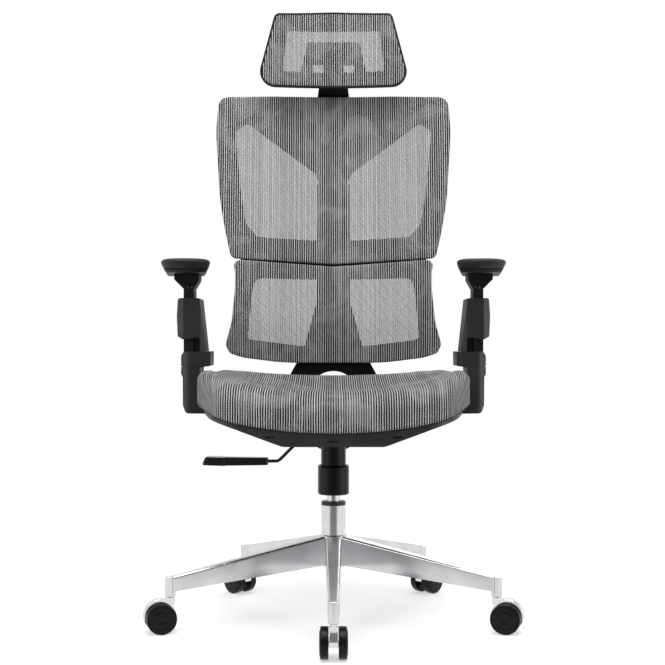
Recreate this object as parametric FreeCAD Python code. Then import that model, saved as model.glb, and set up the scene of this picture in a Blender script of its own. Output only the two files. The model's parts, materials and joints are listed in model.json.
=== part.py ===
"""High-back mesh gaming chair on a five-star base, one STEP file for each piece.

Millimetres. +Z is up, the chair faces -Y, and the origin is on the floor under
the gas column. The sitter's left is at +X.
"""
import FreeCAD, Part
import math
import os

V = FreeCAD.Vector

# ------------------------------------------------------------ base and casters
BASE_RADIUS = 350.0          # centre to the outside of a leg's nose
NOSE_RADIUS = 11.0           # upright rounded end of a leg
PIVOT_RADIUS = BASE_RADIUS - NOSE_RADIUS
LEG_ANGLES = (-90.0, -18.0, 54.0, 126.0, 198.0)
HUB_RADIUS, HUB_BOTTOM, HUB_TOP = 28.0, 113.0, 178.0
LEG_WIDTH_HUB, LEG_WIDTH_TIP = 33.0, 19.0
LEG_WALL = 3.5
WHEEL_RADIUS, WHEEL_WIDTH, WHEEL_INNER = 30.0, 16.0, 9.3
CASTER_TRAIL = 20.0
# the way each caster trails from its pivot, as it stands (degrees in plan)
TRAIL_ANGLES = (90.0, -17.0, 46.0, 134.0, 197.0)
HOOD_RADIUS, HOOD_WIDTH = 32.3, 17.6
AXLE_RADIUS, STEM_RADIUS = 4.0, 5.5
RUNNING = 0.06               # radial play of a shaft in its bore

# -------------------------------------------------------------------- gas lift
TUBE_RADIUS, TUBE_BORE, TUBE_TOP = 25.0, 22.5, 238.0
LIFT_RADIUS, LIFT_BORE = 14.0, 12.0
ROD_RADIUS = 5.0
LIFT_BOTTOM, LIFT_TOP = 126.0, 388.0

# ------------------------------------------------------------------- mechanism
RECLINE_PIVOT = (30.0, 375.0)    # (Y, Z) of the back bracket's pin
SEAT_PIVOT = (-130.0, 385.0)     # (Y, Z) of the seat plate's front pin
LINK_PIN = (110.0, 380.0)        # (Y, Z) of the pin that lowers the seat's rear
LEVER_PIVOT = (-25.0, -40.0, 379.0)
HOUSING_HALF = 37.0

# ------------------------------------------------------------------------ seat
SEAT_DISH_Z = 1330.0         # the seat curves across about this height
SEAT_FRONT, SEAT_REAR = -275.0, 215.0
SEAT_LINES = [(-300, 449, 880), (-262, 465, 865), (-205, 477, 853), (-100, 477, 860), (0, 477, 1000),
              (100, 486, 1450), (180, 499, 2200), (240, 512, 2300)]   # Y, crest Z, dish radius
MESH = 3.0                   # thickness of the seat's mesh skin
ROLL = 33.0                  # rounding of the seat's upper rim

# ------------------------------------------------------------------------ back
BACK_AXIS_Y = -700.0         # upright axis that the upper back curves about
LUMBAR_AXIS_Y = -600.0
HEAD_AXIS_Y = -330.0
RECLINE_REST = 9.2           # slope of the back's slide from upright, degrees
SLIDE_FOOT = V(0, 255.0, 740.0)

# ------------------------------------------------------------------------ arms
ARM_POST = (285.0, 305.5)    # |X| of the sliding post's faces
ARM_TOP = 711.5              # top of the T-shaped head
PAD_CENTRE = 304.0
PAD_TOE_IN = 6.0


# ---------------------------------------------------------------- construction
AXES = {
    "top": (lambda u, v, w: V(u, v, w)),      # plan outline, raised along Z
    "front": (lambda u, v, w: V(u, w, v)),    # front outline, drawn out along Y
    "side": (lambda u, v, w: V(w, u, v)),     # side outline, drawn out along X
}


def outline(corners, plane="top", at=0.0):
    """Closed wire through (u, v, radius) corners, each rounded by its radius."""
    spot = AXES[plane]
    pts = [spot(c[0], c[1], at) for c in corners]
    turns = []
    for i, p in enumerate(pts):
        r = corners[i][2] if len(corners[i]) > 2 else 0.0
        if r <= 0:
            turns.append((p, None, p))
            continue
        a = (pts[i - 1] - p).normalize()
        b = (pts[(i + 1) % len(pts)] - p).normalize()
        half = math.acos(max(-1.0, min(1.0, a.dot(b)))) / 2
        reach = r / math.tan(half)
        middle = p + (a + b).normalize() * (r / math.sin(half) - r)
        turns.append((p + a * reach, middle, p + b * reach))
    edges = []
    for i, (start, middle, end) in enumerate(turns):
        if middle:
            edges.append(Part.Arc(start, middle, end).toShape())
        following = turns[(i + 1) % len(turns)][0]
        if (following - end).Length > 1e-6:
            edges.append(Part.LineSegment(end, following).toShape())
    return Part.Wire(edges)


def prism(corners, w0, w1, plane="top"):
    """Solid of a rounded outline between two distances along its normal."""
    spot = AXES[plane]
    return Part.Face(outline(corners, plane, w0)).extrude(spot(0, 0, w1 - w0))


def mirrored(corners):
    """Outline of a symmetrical piece from its right half, listed from one end."""
    return corners + [(-c[0],) + tuple(c[1:]) for c in reversed(corners)]


def both(shape):
    """A shape and its mirror image across the chair's middle plane."""
    return Part.Compound([shape, shape.mirror(V(0, 0, 0), V(1, 0, 0))])


def rod(radius, start, end):
    """Round bar between two points."""
    return Part.makeCylinder(radius, (end - start).Length, start, end - start)


def turned(points, axis=V(0, 0, 1)):
    """Solid of revolution of (radius, height) points about Z."""
    wire = Part.makePolygon([V(r, 0, z) for r, z in points + points[:1]])
    return Part.Face(wire).revolve(V(0, 0, 0), axis, 360)


def spline(points):
    """Smooth edge through (y, z) points in the middle plane."""
    curve = Part.BSplineCurve()
    curve.interpolate([V(0, y, z) for y, z in points])
    return curve.toShape()


def strip(curve, shift):
    """Closed wire in the middle plane between a smooth line and its shifted copy."""
    first = spline(curve)
    second = spline([(y + shift[0], z + shift[1]) for y, z in curve])
    ends = [Part.LineSegment(V(0, *a), V(0, a[0] + shift[0], a[1] + shift[1])).toShape()
            for a in (curve[0], curve[-1])]
    return Part.Wire(Part.__sortEdges__([first, ends[1], second, ends[0]]))


def swung(wire, centre, axis, half_angle):
    """Solid swept by a middle-plane outline turned both ways about an axis."""
    face = Part.Face(wire)
    face.rotate(centre, axis, -half_angle)
    return face.revolve(centre, axis, 2 * half_angle)


def upright_shell(curve, gap, thickness, axis_y, half_angle=24.0):
    """Curved wall behind a front line, from gap to gap + thickness behind it."""
    line = [(y + gap, z) for y, z in curve]
    return swung(strip(line, (thickness, 0.0)), V(0, axis_y, 0), V(0, 0, 1), half_angle)


def carved(shape, *tools):
    """A solid less each tool in turn."""
    for tool in tools:
        shape = shape.cut(tool)
    return shape


def joined(shape, *others):
    """One solid from touching pieces, joined one after another."""
    for other in others:
        shape = shape.fuse(other)
    return shape


def save(name, shape):
    """Write one piece as parts/NAME.step."""
    shape.exportStep("parts/" + name + ".step")


# ------------------------------------------------------------ base and casters
def leg_section(radius, width, z_low, z_high, wall=0.0, corner=5.0):
    """Cross-section of a leg, square to it, at a distance from the column."""
    half = width / 2 - wall
    top = z_high - wall
    low = z_low - (2.0 if wall else 0.0)
    wire = outline([(half + 0.8, low, 0), (half, top, corner), (-half, top, corner),
                    (-half - 0.8, low, 0)], "side", radius)
    return wire


def base_leg():
    """Channel-shaped leg along +X with its nose and two cross ribs."""
    near, far = (14.0, LEG_WIDTH_HUB, 118.0, 177.5), (PIVOT_RADIUS, LEG_WIDTH_TIP, 81.0, 110.0)
    skin = Part.makeLoft([leg_section(*near), leg_section(*far)], True, True)
    hollow = Part.makeLoft([leg_section(*near, wall=LEG_WALL, corner=3.0),
                            leg_section(*far, wall=LEG_WALL, corner=3.0)], True, True)
    hollow = hollow.cut(Part.makeBox(60, 60, 120, V(PIVOT_RADIUS - 22, -30, 40)))
    for x in (95.0, 165.0, 235.0):
        low = 118.0 - (x - 14.0) * 37.0 / 325.0
        hollow = hollow.cut(Part.makeBox(3.0, 60, 90, V(x, -30, low + 8)))
    nose = Part.makeCylinder(NOSE_RADIUS, 40.0, V(PIVOT_RADIUS, 0, 70.0))
    nose = nose.makeFillet(2.0, [nose.Edges[0], nose.Edges[2]])
    bore = Part.makeCylinder(STEM_RADIUS + RUNNING, 37.0, V(PIVOT_RADIUS, 0, 70.0))
    return skin.cut(hollow).fuse(nose).cut(bore)


def base_star():
    hub = turned([(0.0, HUB_BOTTOM), (HUB_RADIUS - 2, HUB_BOTTOM), (HUB_RADIUS, HUB_BOTTOM + 2),
                  (HUB_RADIUS, HUB_TOP - 2), (HUB_RADIUS - 2, HUB_TOP), (0.0, HUB_TOP)])
    leg = base_leg()
    for angle in LEG_ANGLES:
        copy = leg.copy()
        copy.rotate(V(0, 0, 0), V(0, 0, 1), angle)
        hub = hub.fuse(copy)
    return hub.cut(Part.makeCylinder(TUBE_RADIUS, 80, V(0, 0, HUB_BOTTOM - 5)))


def cylinder_tube():
    floor = HUB_BOTTOM + 3.0
    return turned([(ROD_RADIUS + RUNNING, HUB_BOTTOM), (TUBE_RADIUS, HUB_BOTTOM),
                   (TUBE_RADIUS, TUBE_TOP), (TUBE_BORE, TUBE_TOP), (TUBE_BORE, floor),
                   (ROD_RADIUS + RUNNING, floor)])


def cylinder_guide():
    bore = LIFT_RADIUS + RUNNING
    return turned([(bore, 165.0), (TUBE_BORE, 165.0), (TUBE_BORE, TUBE_TOP), (TUBE_RADIUS, TUBE_TOP),
                   (TUBE_RADIUS, TUBE_TOP + 6.5), (TUBE_RADIUS - 1.5, TUBE_TOP + 8),
                   (bore, TUBE_TOP + 8)])


def piston_rod():
    low = HUB_BOTTOM - 4.0
    return turned([(0, low), (8.0, low), (8.0, HUB_BOTTOM - 0.4), (ROD_RADIUS, HUB_BOTTOM - 0.4),
                   (ROD_RADIUS, 214.5), (LIFT_BORE - 0.1, 214.5), (LIFT_BORE - 0.1, 225.0), (0, 225.0)])


def thrust_bearing():
    z = HUB_BOTTOM + 3.4
    return turned([(ROD_RADIUS, z), (13.0, z), (13.0, z + 1.5), (11.5, z + 2.0), (11.5, z + 4.0),
                   (13.0, z + 4.5), (13.0, z + 6.0), (ROD_RADIUS, z + 6.0)])


def gas_cylinder():
    bore = ROD_RADIUS + RUNNING
    return turned([(bore, LIFT_BOTTOM), (LIFT_RADIUS - 1, LIFT_BOTTOM), (LIFT_RADIUS, LIFT_BOTTOM + 1),
                   (LIFT_RADIUS, LIFT_TOP - 3), (LIFT_RADIUS - 1, LIFT_TOP), (4.0, LIFT_TOP),
                   (4.0, LIFT_TOP + 3), (0, LIFT_TOP + 3), (0, 340.0), (LIFT_BORE, 340.0),
                   (LIFT_BORE, LIFT_BOTTOM + 6), (bore, LIFT_BOTTOM + 6)])


def caster_parts(index):
    """Hood with stem, axle and two wheels of one caster, where it stands."""
    z = WHEEL_RADIUS
    x = CASTER_TRAIL
    half = HOOD_WIDTH / 2
    disc = rod(HOOD_RADIUS, V(x + 1.8, -half, z + 5), V(x + 1.8, half, z + 5))
    disc = disc.makeFillet(1.5, disc.Edges)
    open_low = prism([(x - 50, -20), (x + 60, -20), (x + 60, 21), (x + 2, 34), (x - 50, 26)],
                     -30, 30, "front")
    boss = Part.makeCylinder(9.0, 9.5, V(0, 0, 60.0))
    neck = prism([(-8, 69, 3), (-8, 58, 3), (x - 12, 38, 3), (x + 6, 52, 3), (x + 2, 66, 3)],
                 -half, half, "front")
    stem = Part.makeCylinder(STEM_RADIUS, 36.0, V(0, 0, 69.0))
    bore = rod(AXLE_RADIUS, V(x, -30, z), V(x, 30, z))
    hub = rod(9.0, V(x, -half, z), V(x, half, z))
    hood = disc.cut(open_low).fuse([boss, neck, stem, hub]).cut(bore)
    axle = rod(AXLE_RADIUS, V(x, -23.0, z), V(x, 23.0, z))
    far = WHEEL_INNER + WHEEL_WIDTH
    run = AXLE_RADIUS + RUNNING
    profile = [(run, WHEEL_INNER), (10, WHEEL_INNER), (10, WHEEL_INNER + 2), (23, WHEEL_INNER + 3),
               (24, WHEEL_INNER), (29, WHEEL_INNER), (WHEEL_RADIUS, WHEEL_INNER + 1.5),
               (WHEEL_RADIUS, far - 3.5), (29.2, far - 1.4), (27.5, far - 0.6), (18, far), (0, far),
               (0, far - 2), (run, far - 2)]
    wheel = turned(profile)
    wheel.rotate(V(0, 0, 0), V(1, 0, 0), 90)
    right = wheel.copy()
    right.translate(V(x, 0, z))
    left = right.mirror(V(0, 0, 0), V(0, 1, 0))
    made = []
    angle = math.radians(LEG_ANGLES[index])
    for piece in (hood, axle, left, right):
        piece.rotate(V(0, 0, 0), V(0, 0, 1), TRAIL_ANGLES[index])
        piece.translate(V(math.cos(angle), math.sin(angle), 0) * PIVOT_RADIUS)
        made.append(piece)
    return made


# ------------------------------------------------------------------- mechanism
def mechanism_housing():
    half = HOUSING_HALF
    top = lambda y: 397.0 - (y + 146.0) * 17.0 / 274.0
    body = prism([(-146, 373, 9), (-146, top(-146), 6), (128, top(128), 5), (128, 366, 2),
                  (-100, 366, 20)], -half, half, "side")
    belly = prism([(-half, 362, 6), (half, 362, 6), (half, 400), (-half, 400)], -148, 130, "front")
    pocket = prism([(-half, 347, 14), (half, 347, 14), (half, 383), (-half, 383)], 48, 128, "front")
    pocket = pocket.common(prism([(48, 347, 10), (128, 347, 16), (128, 381), (48, 384)],
                                 -half, half, "side"))
    socket = turned([(0, 362), (25.0, 362), (27.0, 366.5), (0, 366.5)])
    shape = body.common(belly).fuse([pocket, socket])
    shape = shape.cut(Part.makeCylinder(LIFT_RADIUS, 40, V(0, 0, LIFT_TOP - 40)))
    shape = shape.cut(Part.makeCylinder(LIFT_RADIUS - 0.5, 4, V(0, 0, LIFT_TOP)))
    for y, z in (RECLINE_PIVOT, SEAT_PIVOT):
        shape = shape.cut(rod(5.0, V(-60, y, z), V(60, y, z)))
    x, y, z = LEVER_PIVOT
    slot = Part.makeBox(37.5, 17, 29, V(x - 18, y - 8.5, z - 15))
    trunnion = rod(3.0 + RUNNING, V(x, y - 14, z), V(x, y + 14, z))
    knob = rod(5.0 + RUNNING, V(15, -60, 380), V(50, -60, 380))
    ribs = [Part.makeBox(3, 54, 12, V(a, -112, 360)) for a in (-24, -1.5, 21)]
    hollow = Part.makeBox(60, 54, 16, V(-30, -112, 362)).cut(ribs[0].fuse(ribs[1:]))
    return shape.cut([slot, trunnion, knob, hollow])


def pivot_pins():
    """Pins of the back bracket and of the seat plate, fixed in the housing."""
    y, z = RECLINE_PIVOT
    rear = rod(5.0, V(-90, y, z), V(90, y, z))
    y, z = SEAT_PIVOT
    return rear, rod(5.0, V(-46, y, z), V(46, y, z))


def lever_bush():
    x, y, z = LEVER_PIVOT
    block = Part.makeBox(18, 14, 14, V(x - 9, y - 7, z - 7))
    block = block.fuse(rod(3.0, V(x, y - 13, z), V(x, y + 13, z)))
    return block.cut(rod(3.25 + RUNNING, V(x - 20, y, z), V(x + 20, y, z)))


def lever_rod():
    """Bent bar: straight through the bush, down at a slant, out to the grip."""
    y = LEVER_PIVOT[1]
    path = [V(-8, y, 379), V(-64, y, 379), V(-111.5, y, 331.5), V(-250, y, 331.5)]
    wire = []
    bend = 14.0
    begin = path[0]
    for i in (1, 2):
        a = (path[i - 1] - path[i]).normalize()
        b = (path[i + 1] - path[i]).normalize()
        half = math.acos(a.dot(b)) / 2
        reach = bend / math.tan(half)
        middle = path[i] + (a + b).normalize() * (bend / math.sin(half) - bend)
        wire.append(Part.LineSegment(begin, path[i] + a * reach).toShape())
        wire.append(Part.Arc(path[i] + a * reach, middle, path[i] + b * reach).toShape())
        begin = path[i] + b * reach
    wire.append(Part.LineSegment(begin, path[3]).toShape())
    section = Part.Wire(Part.makeCircle(3.25, path[0], V(1, 0, 0)))
    return Part.Wire(wire).makePipeShell([section], True, False)


def lever_grip():
    """Moulded grip: round-edged bar that widens into a slanted paddle."""
    y, z = LEVER_PIVOT[1], 331.5
    bar = prism([(-132, z - 7.5, 3), (-132, z + 7.5, 3), (-219, z + 8.5, 0), (-219, z - 8.5, 0)],
                y - 9, y + 9, "front")
    paddle = prism([(-219, z - 8.5, 0), (-219, z + 8.5, 0), (-258, z + 9.5, 4), (-266, z - 7, 3)],
                   y - 16, y + 16, "front")
    plan = prism([(-132, y - 8, 4), (-132, y + 8, 4), (-205, y + 9, 20), (-226, y + 16, 18),
                  (-266, y + 14, 8), (-266, y - 14, 8), (-226, y - 16, 18), (-205, y - 9, 20)],
                 z - 20, z + 20)
    return bar.fuse(paddle).common(plan).cut(rod(3.25, V(-131, y, z), V(-250, y, z)))


def tension_knob():
    """Knob with eight finger grooves on a short spindle."""
    profile = [(0, 20), (5, 20), (5, 41), (11, 41), (14.5, 44), (15, 50), (15, 66), (13, 70), (0, 70)]
    knob = turned(profile)
    for i in range(8):
        a = math.radians(45 * i)
        groove = Part.makeCylinder(3.0, 20, V(16.8 * math.cos(a), 16.8 * math.sin(a), 48))
        knob = knob.cut(groove)
    knob.rotate(V(0, 0, 0), V(0, 1, 0), 90)
    knob.translate(V(0, -60, 380))
    return knob


def back_bracket():
    """Forked J-shaped bracket with an arched opening and a slide upright."""
    side = prism([(14, 360, 12), (14, 390, 14), (110, 391, 0), (200, 388, 40), (240, 440, 60),
                  (250, 520, 80), (255, 570, 60), (254.2, 735.1, 60), (281.4, 902.9, 0),
                  (297.2, 900.3, 0), (270.8, 737.4, 60), (274, 620, 80), (284, 520, 120),
                  (278, 425, 50), (248, 380, 50), (190, 356, 60), (30, 358, 14)], -100, 100, "side")
    plan = prism(mirrored([(54, 262, 0), (54, 200, 10), (52, 170, 30), (52, 10, 0), (76, 10, 8),
                           (84, 150, 40), (97, 232, 20), (97, 320, 0)]), 340, 460)
    rear = prism(mirrored([(97, 330, 0), (97, 498, 6), (84, 522, 14), (46, 566, 20), (30, 600, 30),
                           (30, 912, 3)]), 5, 330, "front")
    arch = prism([(-54, 330, 0), (54, 330, 0), (54, 505, 53), (-54, 505, 53)], 205, 330, "front")
    upper = prism([(-120, 455), (120, 455), (120, 930), (-120, 930)], 0, 340, "front")
    shape = side.common(rear).common(plan.fuse(upper)).cut(arch)
    y, z = RECLINE_PIVOT
    bosses = [rod(15.0, V(s * 38.6, y, z), V(s * 60, y, z)) for s in (-1, 1)]
    bores = [rod(5.0 + RUNNING, V(-100, y, z), V(100, y, z)),
             rod(5.0 + RUNNING, V(-60, 264, 640), V(60, 264, 640))]
    ly, lz = LINK_PIN
    links = [rod(5.0, V(s * 44, ly, lz), V(s * 60, ly, lz)) for s in (-1, 1)]
    ribs = both(prism([(40, 352), (40, 370, 4), (180, 368, 10), (180, 352)], 60, 70, "side"))
    shape = shape.fuse(bosses).cut(ribs).fuse(links)
    return shape.cut(bores)


# ------------------------------------------------------------------------ seat
def seat_plan(inset=0.0):
    """Outline of the seat from above, drawn in by a margin."""
    wire = outline(mirrored([(214, -271, 80), (277, -118, 200), (263, -38, 300),
                             (259, 90, 600), (256, SEAT_REAR, 78)]), "top", 0)
    return wire.makeOffset2D(-inset) if inset else wire


def seat_surface(drop):
    """Everything under the seat's surface, whose dish grows flatter toward the rear."""
    sections = []
    for y, crest, radius in SEAT_LINES:
        half, top = 330.0, crest - drop
        edge = top + half ** 2 / (2 * radius)
        arc = Part.Arc(V(-half, y, edge), V(0, y, top), V(half, y, edge)).toShape()
        foot = Part.makePolygon([V(half, y, edge), V(half, y, 300), V(-half, y, 300),
                                 V(-half, y, edge)])
        sections.append(Part.Wire([arc] + foot.Edges))
    return Part.makeLoft(sections, True, False)


def seat_low(y):
    """Height of the rim's lower edge in the middle plane."""
    return 404.0 + (y - SEAT_FRONT) * 34.0 / 490.0


def seat_block(inset, drop, roll):
    """Dished block with a rolled upper rim, the form that mesh and frame share."""
    sides = Part.makePolygon([V(0, 240, seat_low(240)), V(0, -300, seat_low(-300)), V(0, -300, 640),
                              V(0, 240, 640), V(0, 240, seat_low(240))])
    body = swung(sides, V(0, 0, SEAT_DISH_Z), V(0, 1, 0), 24.0).common(seat_surface(drop))
    column = Part.Face(seat_plan(inset)).extrude(V(0, 0, 400))
    column.translate(V(0, 0, 300))
    block = body.common(column)
    rim = []
    for edge in block.Edges:
        middle = edge.CenterOfMass
        rise = middle.x ** 2 / (2 * (SEAT_DISH_Z - 420.0))
        if edge.Curve.TypeId != "Part::GeomLine" and middle.z - rise > seat_low(middle.y) + 14:
            rim.append(edge)
    return block.makeFillet(roll, rim)


def seat_mesh_and_frame():
    skin = seat_block(0.0, 0.0, ROLL)
    core = seat_block(MESH, MESH, ROLL - MESH)
    below = core.copy()
    below.translate(V(0, 0, -40))
    mesh = skin.cut(core.fuse(below))
    inner = Part.Face(seat_plan(44.0)).extrude(V(0, 0, 400))
    inner.translate(V(0, 0, 300))
    frame = seat_block(MESH + 0.2, MESH + 0.2, ROLL - MESH).cut(inner)
    return mesh, frame


def tunnel(lift, half):
    """Clear space over the mechanism, under the pan."""
    return prism([(-172, 340), (-172, 402 + lift, 0), (-130, 404 + lift), (30, 424 + lift),
                  (110, 428 + lift), (175, 428 + lift), (260, 432 + lift), (260, 340)],
                 -half, half, "side")


def seat_pan():
    outer = mirrored([(95, 380, 30), (182, 412, 60), (236, 429, 10), (246, 436), (246, 520)])
    inner = mirrored([(94, 384.2, 30), (181, 416.4, 60), (232, 432.5, 10), (240, 439), (240, 520)])
    below = Part.makePolygon([V(0, -320, 300), V(0, -320, seat_low(-320) - 0.3),
                              V(0, 250, seat_low(250) - 0.3), V(0, 250, 300), V(0, -320, 300)])
    below = swung(below, V(0, 0, SEAT_DISH_Z), V(0, 1, 0), 24.0)
    lip = Part.Face(seat_plan(2.0)).extrude(V(0, 0, 400))
    well = Part.Face(seat_plan(6.0)).extrude(V(0, 0, 400))
    for shape in (lip, well):
        shape.translate(V(0, 0, 300))
    shell = prism(outer, -320, 250, "front").common(lip).common(below)
    shell = shell.cut(prism(inner, -320, 250, "front").common(well))
    roof = tunnel(4.0, 116.0).common(prism([(-176, 384), (-176, 520), (205, 520), (205, 384)],
                                           -116, 116, "side"))
    roof = roof.common(prism(outer, -320, 250, "front"))
    ribs = [Part.makeBox(3, 300, 14, V(s * 150 - 1.5, -200, 396)).common(
        prism(inner, -320, 250, "front")) for s in (-1, 1)]
    shape = shell.fuse([roof] + ribs).cut(tunnel(0.0, 112.0))
    slots = [prism([(x - 9, z - 1.6, 1.5), (x + 9, z - 1.6, 1.5), (x + 9, z + 1.6, 1.5),
                    (x - 9, z + 1.6, 1.5)], -290, -240, "front")
             for x, z in ((0, 390), (-118, 398), (118, 398))]
    return shape.cut(slots)


def seat_plate():
    """Pressed steel plate under the pan, with front lugs and open rear forks."""
    plate = tunnel(0.0, 100.0).cut(tunnel(-3.0, 101.0)).common(
        prism([(-168, 340), (-168, 460), (170, 460), (170, 340)], -100, 100, "side"))
    y, z = SEAT_PIVOT
    lug = prism([(y - 12, z - 12, 11.9), (y - 12, 401.5), (y + 32, 406), (y + 12, z - 12, 11.9)],
                38.6, 43, "side")
    ly, lz = LINK_PIN
    fork = prism([(ly - 16, lz - 8, 4), (ly - 20, 427), (ly + 20, 427.5), (ly + 16, lz - 8, 4)],
                 45, 49.4, "side")
    fork = fork.cut(prism([(ly - 8, 360), (ly + 8, 360), (ly + 8, lz + 8, 7.9), (ly - 8, lz + 8, 7.9)],
                          40, 55, "side"))
    holes = [Part.makeCylinder(4.0, 60, V(s * 82, y, 380)) for s in (-1, 1) for y in (-110, -20, 130)]
    shape = plate.cut(holes)
    for s in (-1, 1):
        for piece in (lug, fork):
            shape = shape.fuse(piece if s > 0 else piece.mirror(V(0, 0, 0), V(1, 0, 0)))
    return shape.cut(rod(5.0 + RUNNING, V(-60, y, z), V(60, y, z)))


# ------------------------------------------------------------------------ arms
def arm_bracket():
    """Bent steel strap from under the pan into the arm's cover, sitter's left."""
    strap = prism([(116, 387.4), (182, 411.7, 30), (236, 428.7, 20), (262, 436, 6), (283, 436, 4),
                   (283, 472), (288, 472), (288, 430.5, 8), (262, 430.5, 8), (237, 423.2, 20),
                   (183.6, 406.6, 30), (117.6, 382.4)], -30, 40, "front")
    plan = prism([(110, -18, 6), (240, -30, 20), (300, -30), (300, 40), (240, 40, 20), (110, 28, 6)],
                 370, 520)
    holes = [Part.makeCylinder(4.5, 60, V(x, y, 370)) for x in (150, 205) for y in (-6, 16)]
    return strap.common(plan).cut(holes)


def arm_housing():
    """Lower cover, inner strut with its arch, and the sleeve round the post."""
    lower = prism([(257, 427, 3), (300, 428, 9), (306, 445), (306.5, 501), (310, 508, 2),
                   (310, 545, 4), (304, 553, 2), (270.5, 553), (250, 553), (250, 524, 2),
                   (271, 521, 2), (271, 450, 12)], -42, 50, "front")
    lower = lower.common(prism([(240, -34, 6), (240, 42, 6), (296, 50, 14), (315, 34, 16),
                                (315, -26, 16), (296, -42, 14)], 420, 560))
    strut = prism([(250, 540), (259.5, 553.5), (271, 655), (285, 655), (285, 600), (285, 583),
                   (270.5, 583, 8), (270.5, 540)], -38, 46, "front")
    sleeve = prism([(271, 583), (306, 578, 2), (317, 584, 3), (319, 625, 80), (316.5, 662, 5),
                    (271, 662, 5)], -38, 46, "front")
    upper = strut.fuse(sleeve).common(
        prism([(250, -26, 3), (271, -38, 4), (305, -38, 3), (325, -24, 6), (325, 32, 6),
               (305, 46, 3), (271, 46, 4), (250, 34, 3)], 530, 670))
    web = Part.makeBox(15.5, 28, 34, V(269.5, -10, 551))
    seam = Part.makeBox(60, 120, 1.4, V(276, -60, 522)).cut(
        prism([(240, -32.8, 5), (240, 40.8, 5), (295.6, 48.8, 13), (308.8, 33.4, 15),
               (308.8, -25.4, 15), (295.6, -40.8, 13)], 515, 530))
    shape = joined(lower, upper, web).cut(seam)
    post = Part.makeBox(ARM_POST[1] - ARM_POST[0] + 0.8, 56.8, 200,
                        V(ARM_POST[0] - 0.4, -24.4, 468))
    strap = Part.makeBox(33, 70.4, 70, V(255, -30.2, 430.4)).common(
        Part.makeBox(5.2, 80, 72, V(282.9, -40, 430)))
    foot = Part.makeBox(40, 70.4, 7.6, V(250, -30.2, 428.8))
    bend = Part.makeBox(6, 70.4, 5, V(277.2, -30.2, 436))
    return carved(shape, post, strap, foot, bend)


def arm_post():
    """Sliding post with its T-shaped head and the rail for the pad's slider."""
    x0, x1 = ARM_POST
    post = Part.makeBox(x1 - x0, 56, 192, V(x0, -24, 490))
    notches = [Part.makeBox(4, 10, 5, V(x1 - 2, -1, 500 + 14 * i)) for i in range(5)]
    head = prism([(x0, 681, 4), (x1, 681, 4), (325, 700.5, 3), (325, ARM_TOP, 1),
                  (274, ARM_TOP, 1), (275, 698, 10)], -24, 32, "front")
    notch = prism([(313.4, 680), (330, 680), (330, 720), (313.4, 720)], -15.4, 23.4, "front")
    pin = rod(1.5 + RUNNING, V(318, -20, 707), V(318, 28, 707))
    rail = toed_in(Part.makeBox(8.6, 90, 3.2, V(PAD_CENTRE - 4.3, -50, ARM_TOP - 3.2)))
    return post.cut(notches).fuse(head).cut([notch, pin, rail])


def arm_release():
    """Release paddle in the outer end of the head, on its own small pin."""
    paddle = prism([(314.2, 692.5, 1), (325, 702, 3), (325, 709, 1.5), (314.6, 709.6, 1)],
                   -15, 23, "front")
    return paddle.fuse(rod(1.5, V(318, -19, 707), V(318, 27, 707)))


def toed_in(shape):
    """Turn a piece of the pad's group so that its front leans toward the sitter."""
    shape.rotate(V(PAD_CENTRE, 4, 0), V(0, 0, 1), -PAD_TOE_IN)
    return shape


def pad_plan(width, length, z):
    """Outline of the pad from above, with a blunt rear and a rounder nose."""
    w, n = width / 2, length / 2
    return outline([(PAD_CENTRE - w, -n + 4, w * 0.72), (PAD_CENTRE + w, -n + 4, w * 0.72),
                    (PAD_CENTRE + w * 0.97, n + 4, w * 0.6), (PAD_CENTRE - w * 0.97, n + 4, w * 0.6)],
                   "top", z)


def arm_slider():
    """Lower layer of the pad: it slides on the head and carries the pad's pivot."""
    body = Part.makeLoft([pad_plan(79, 206, ARM_TOP + 0.4), pad_plan(87, 216, ARM_TOP + 6.4)], True, True)
    keel = Part.makeBox(8.0, 60, 3.0, V(PAD_CENTRE - 4.0, -30, ARM_TOP - 2.4))
    pivot = Part.makeCylinder(12.0 + RUNNING, 5.0, V(PAD_CENTRE, 4, ARM_TOP + 2.4))
    return toed_in(body.fuse(keel).cut(pivot))


def arm_pad():
    """Soft upper layer, wider than its base and crowned, on a round spigot."""
    z = ARM_TOP + 6.8
    lower = Part.makeLoft([pad_plan(87, 230, z), pad_plan(99, 248, z + 12)], True, True)
    upper = Part.makeLoft([pad_plan(99, 248, z + 12), pad_plan(94, 242, z + 18),
                           pad_plan(78, 226, z + 21)], True, True)
    spigot = Part.makeCylinder(12.0, 5.0, V(PAD_CENTRE, 4, ARM_TOP + 2.8))
    return toed_in(lower.fuse(upper).fuse(spigot))


# ------------------------------------------------------------------------ back
def on_slide(shape):
    """Set a piece that was drawn upright onto the sloped slide of the back."""
    shape.Placement = FreeCAD.Placement(SLIDE_FOOT, FreeCAD.Rotation(V(1, 0, 0), -RECLINE_REST))
    return shape


def slide_box(x0, x1, y0, y1, z0, z1):
    """Box along the slide: x across, y backward and z up from the slide's foot."""
    return on_slide(Part.makeBox(x1 - x0, y1 - y0, z1 - z0, V(x0, y0, z0)))


BACK_LINE = [(234.4, 722), (241, 770), (262, 900), (284, 1030), (302, 1140)]
BACK_OUTLINE = [(0, 744)] + mirrored([(228, 757, 14), (242, 820, 300), (254, 889, 500),
                                      (265, 1045, 300), (259, 1126, 24), (140, 1132, 600)])
BACK_WINDOW = [(36, 798, 6), (170, 806, 16), (197, 836, 30), (209, 914, 200), (222, 1048, 14),
               (196, 1068, 10), (41, 953, 8), (34, 934, 6)]


def back_outline(inset):
    """Front outline of the upper back, drawn in by a margin."""
    wire = outline(BACK_OUTLINE, "front", 0)
    return wire.makeOffset2D(-inset) if inset else wire


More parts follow.
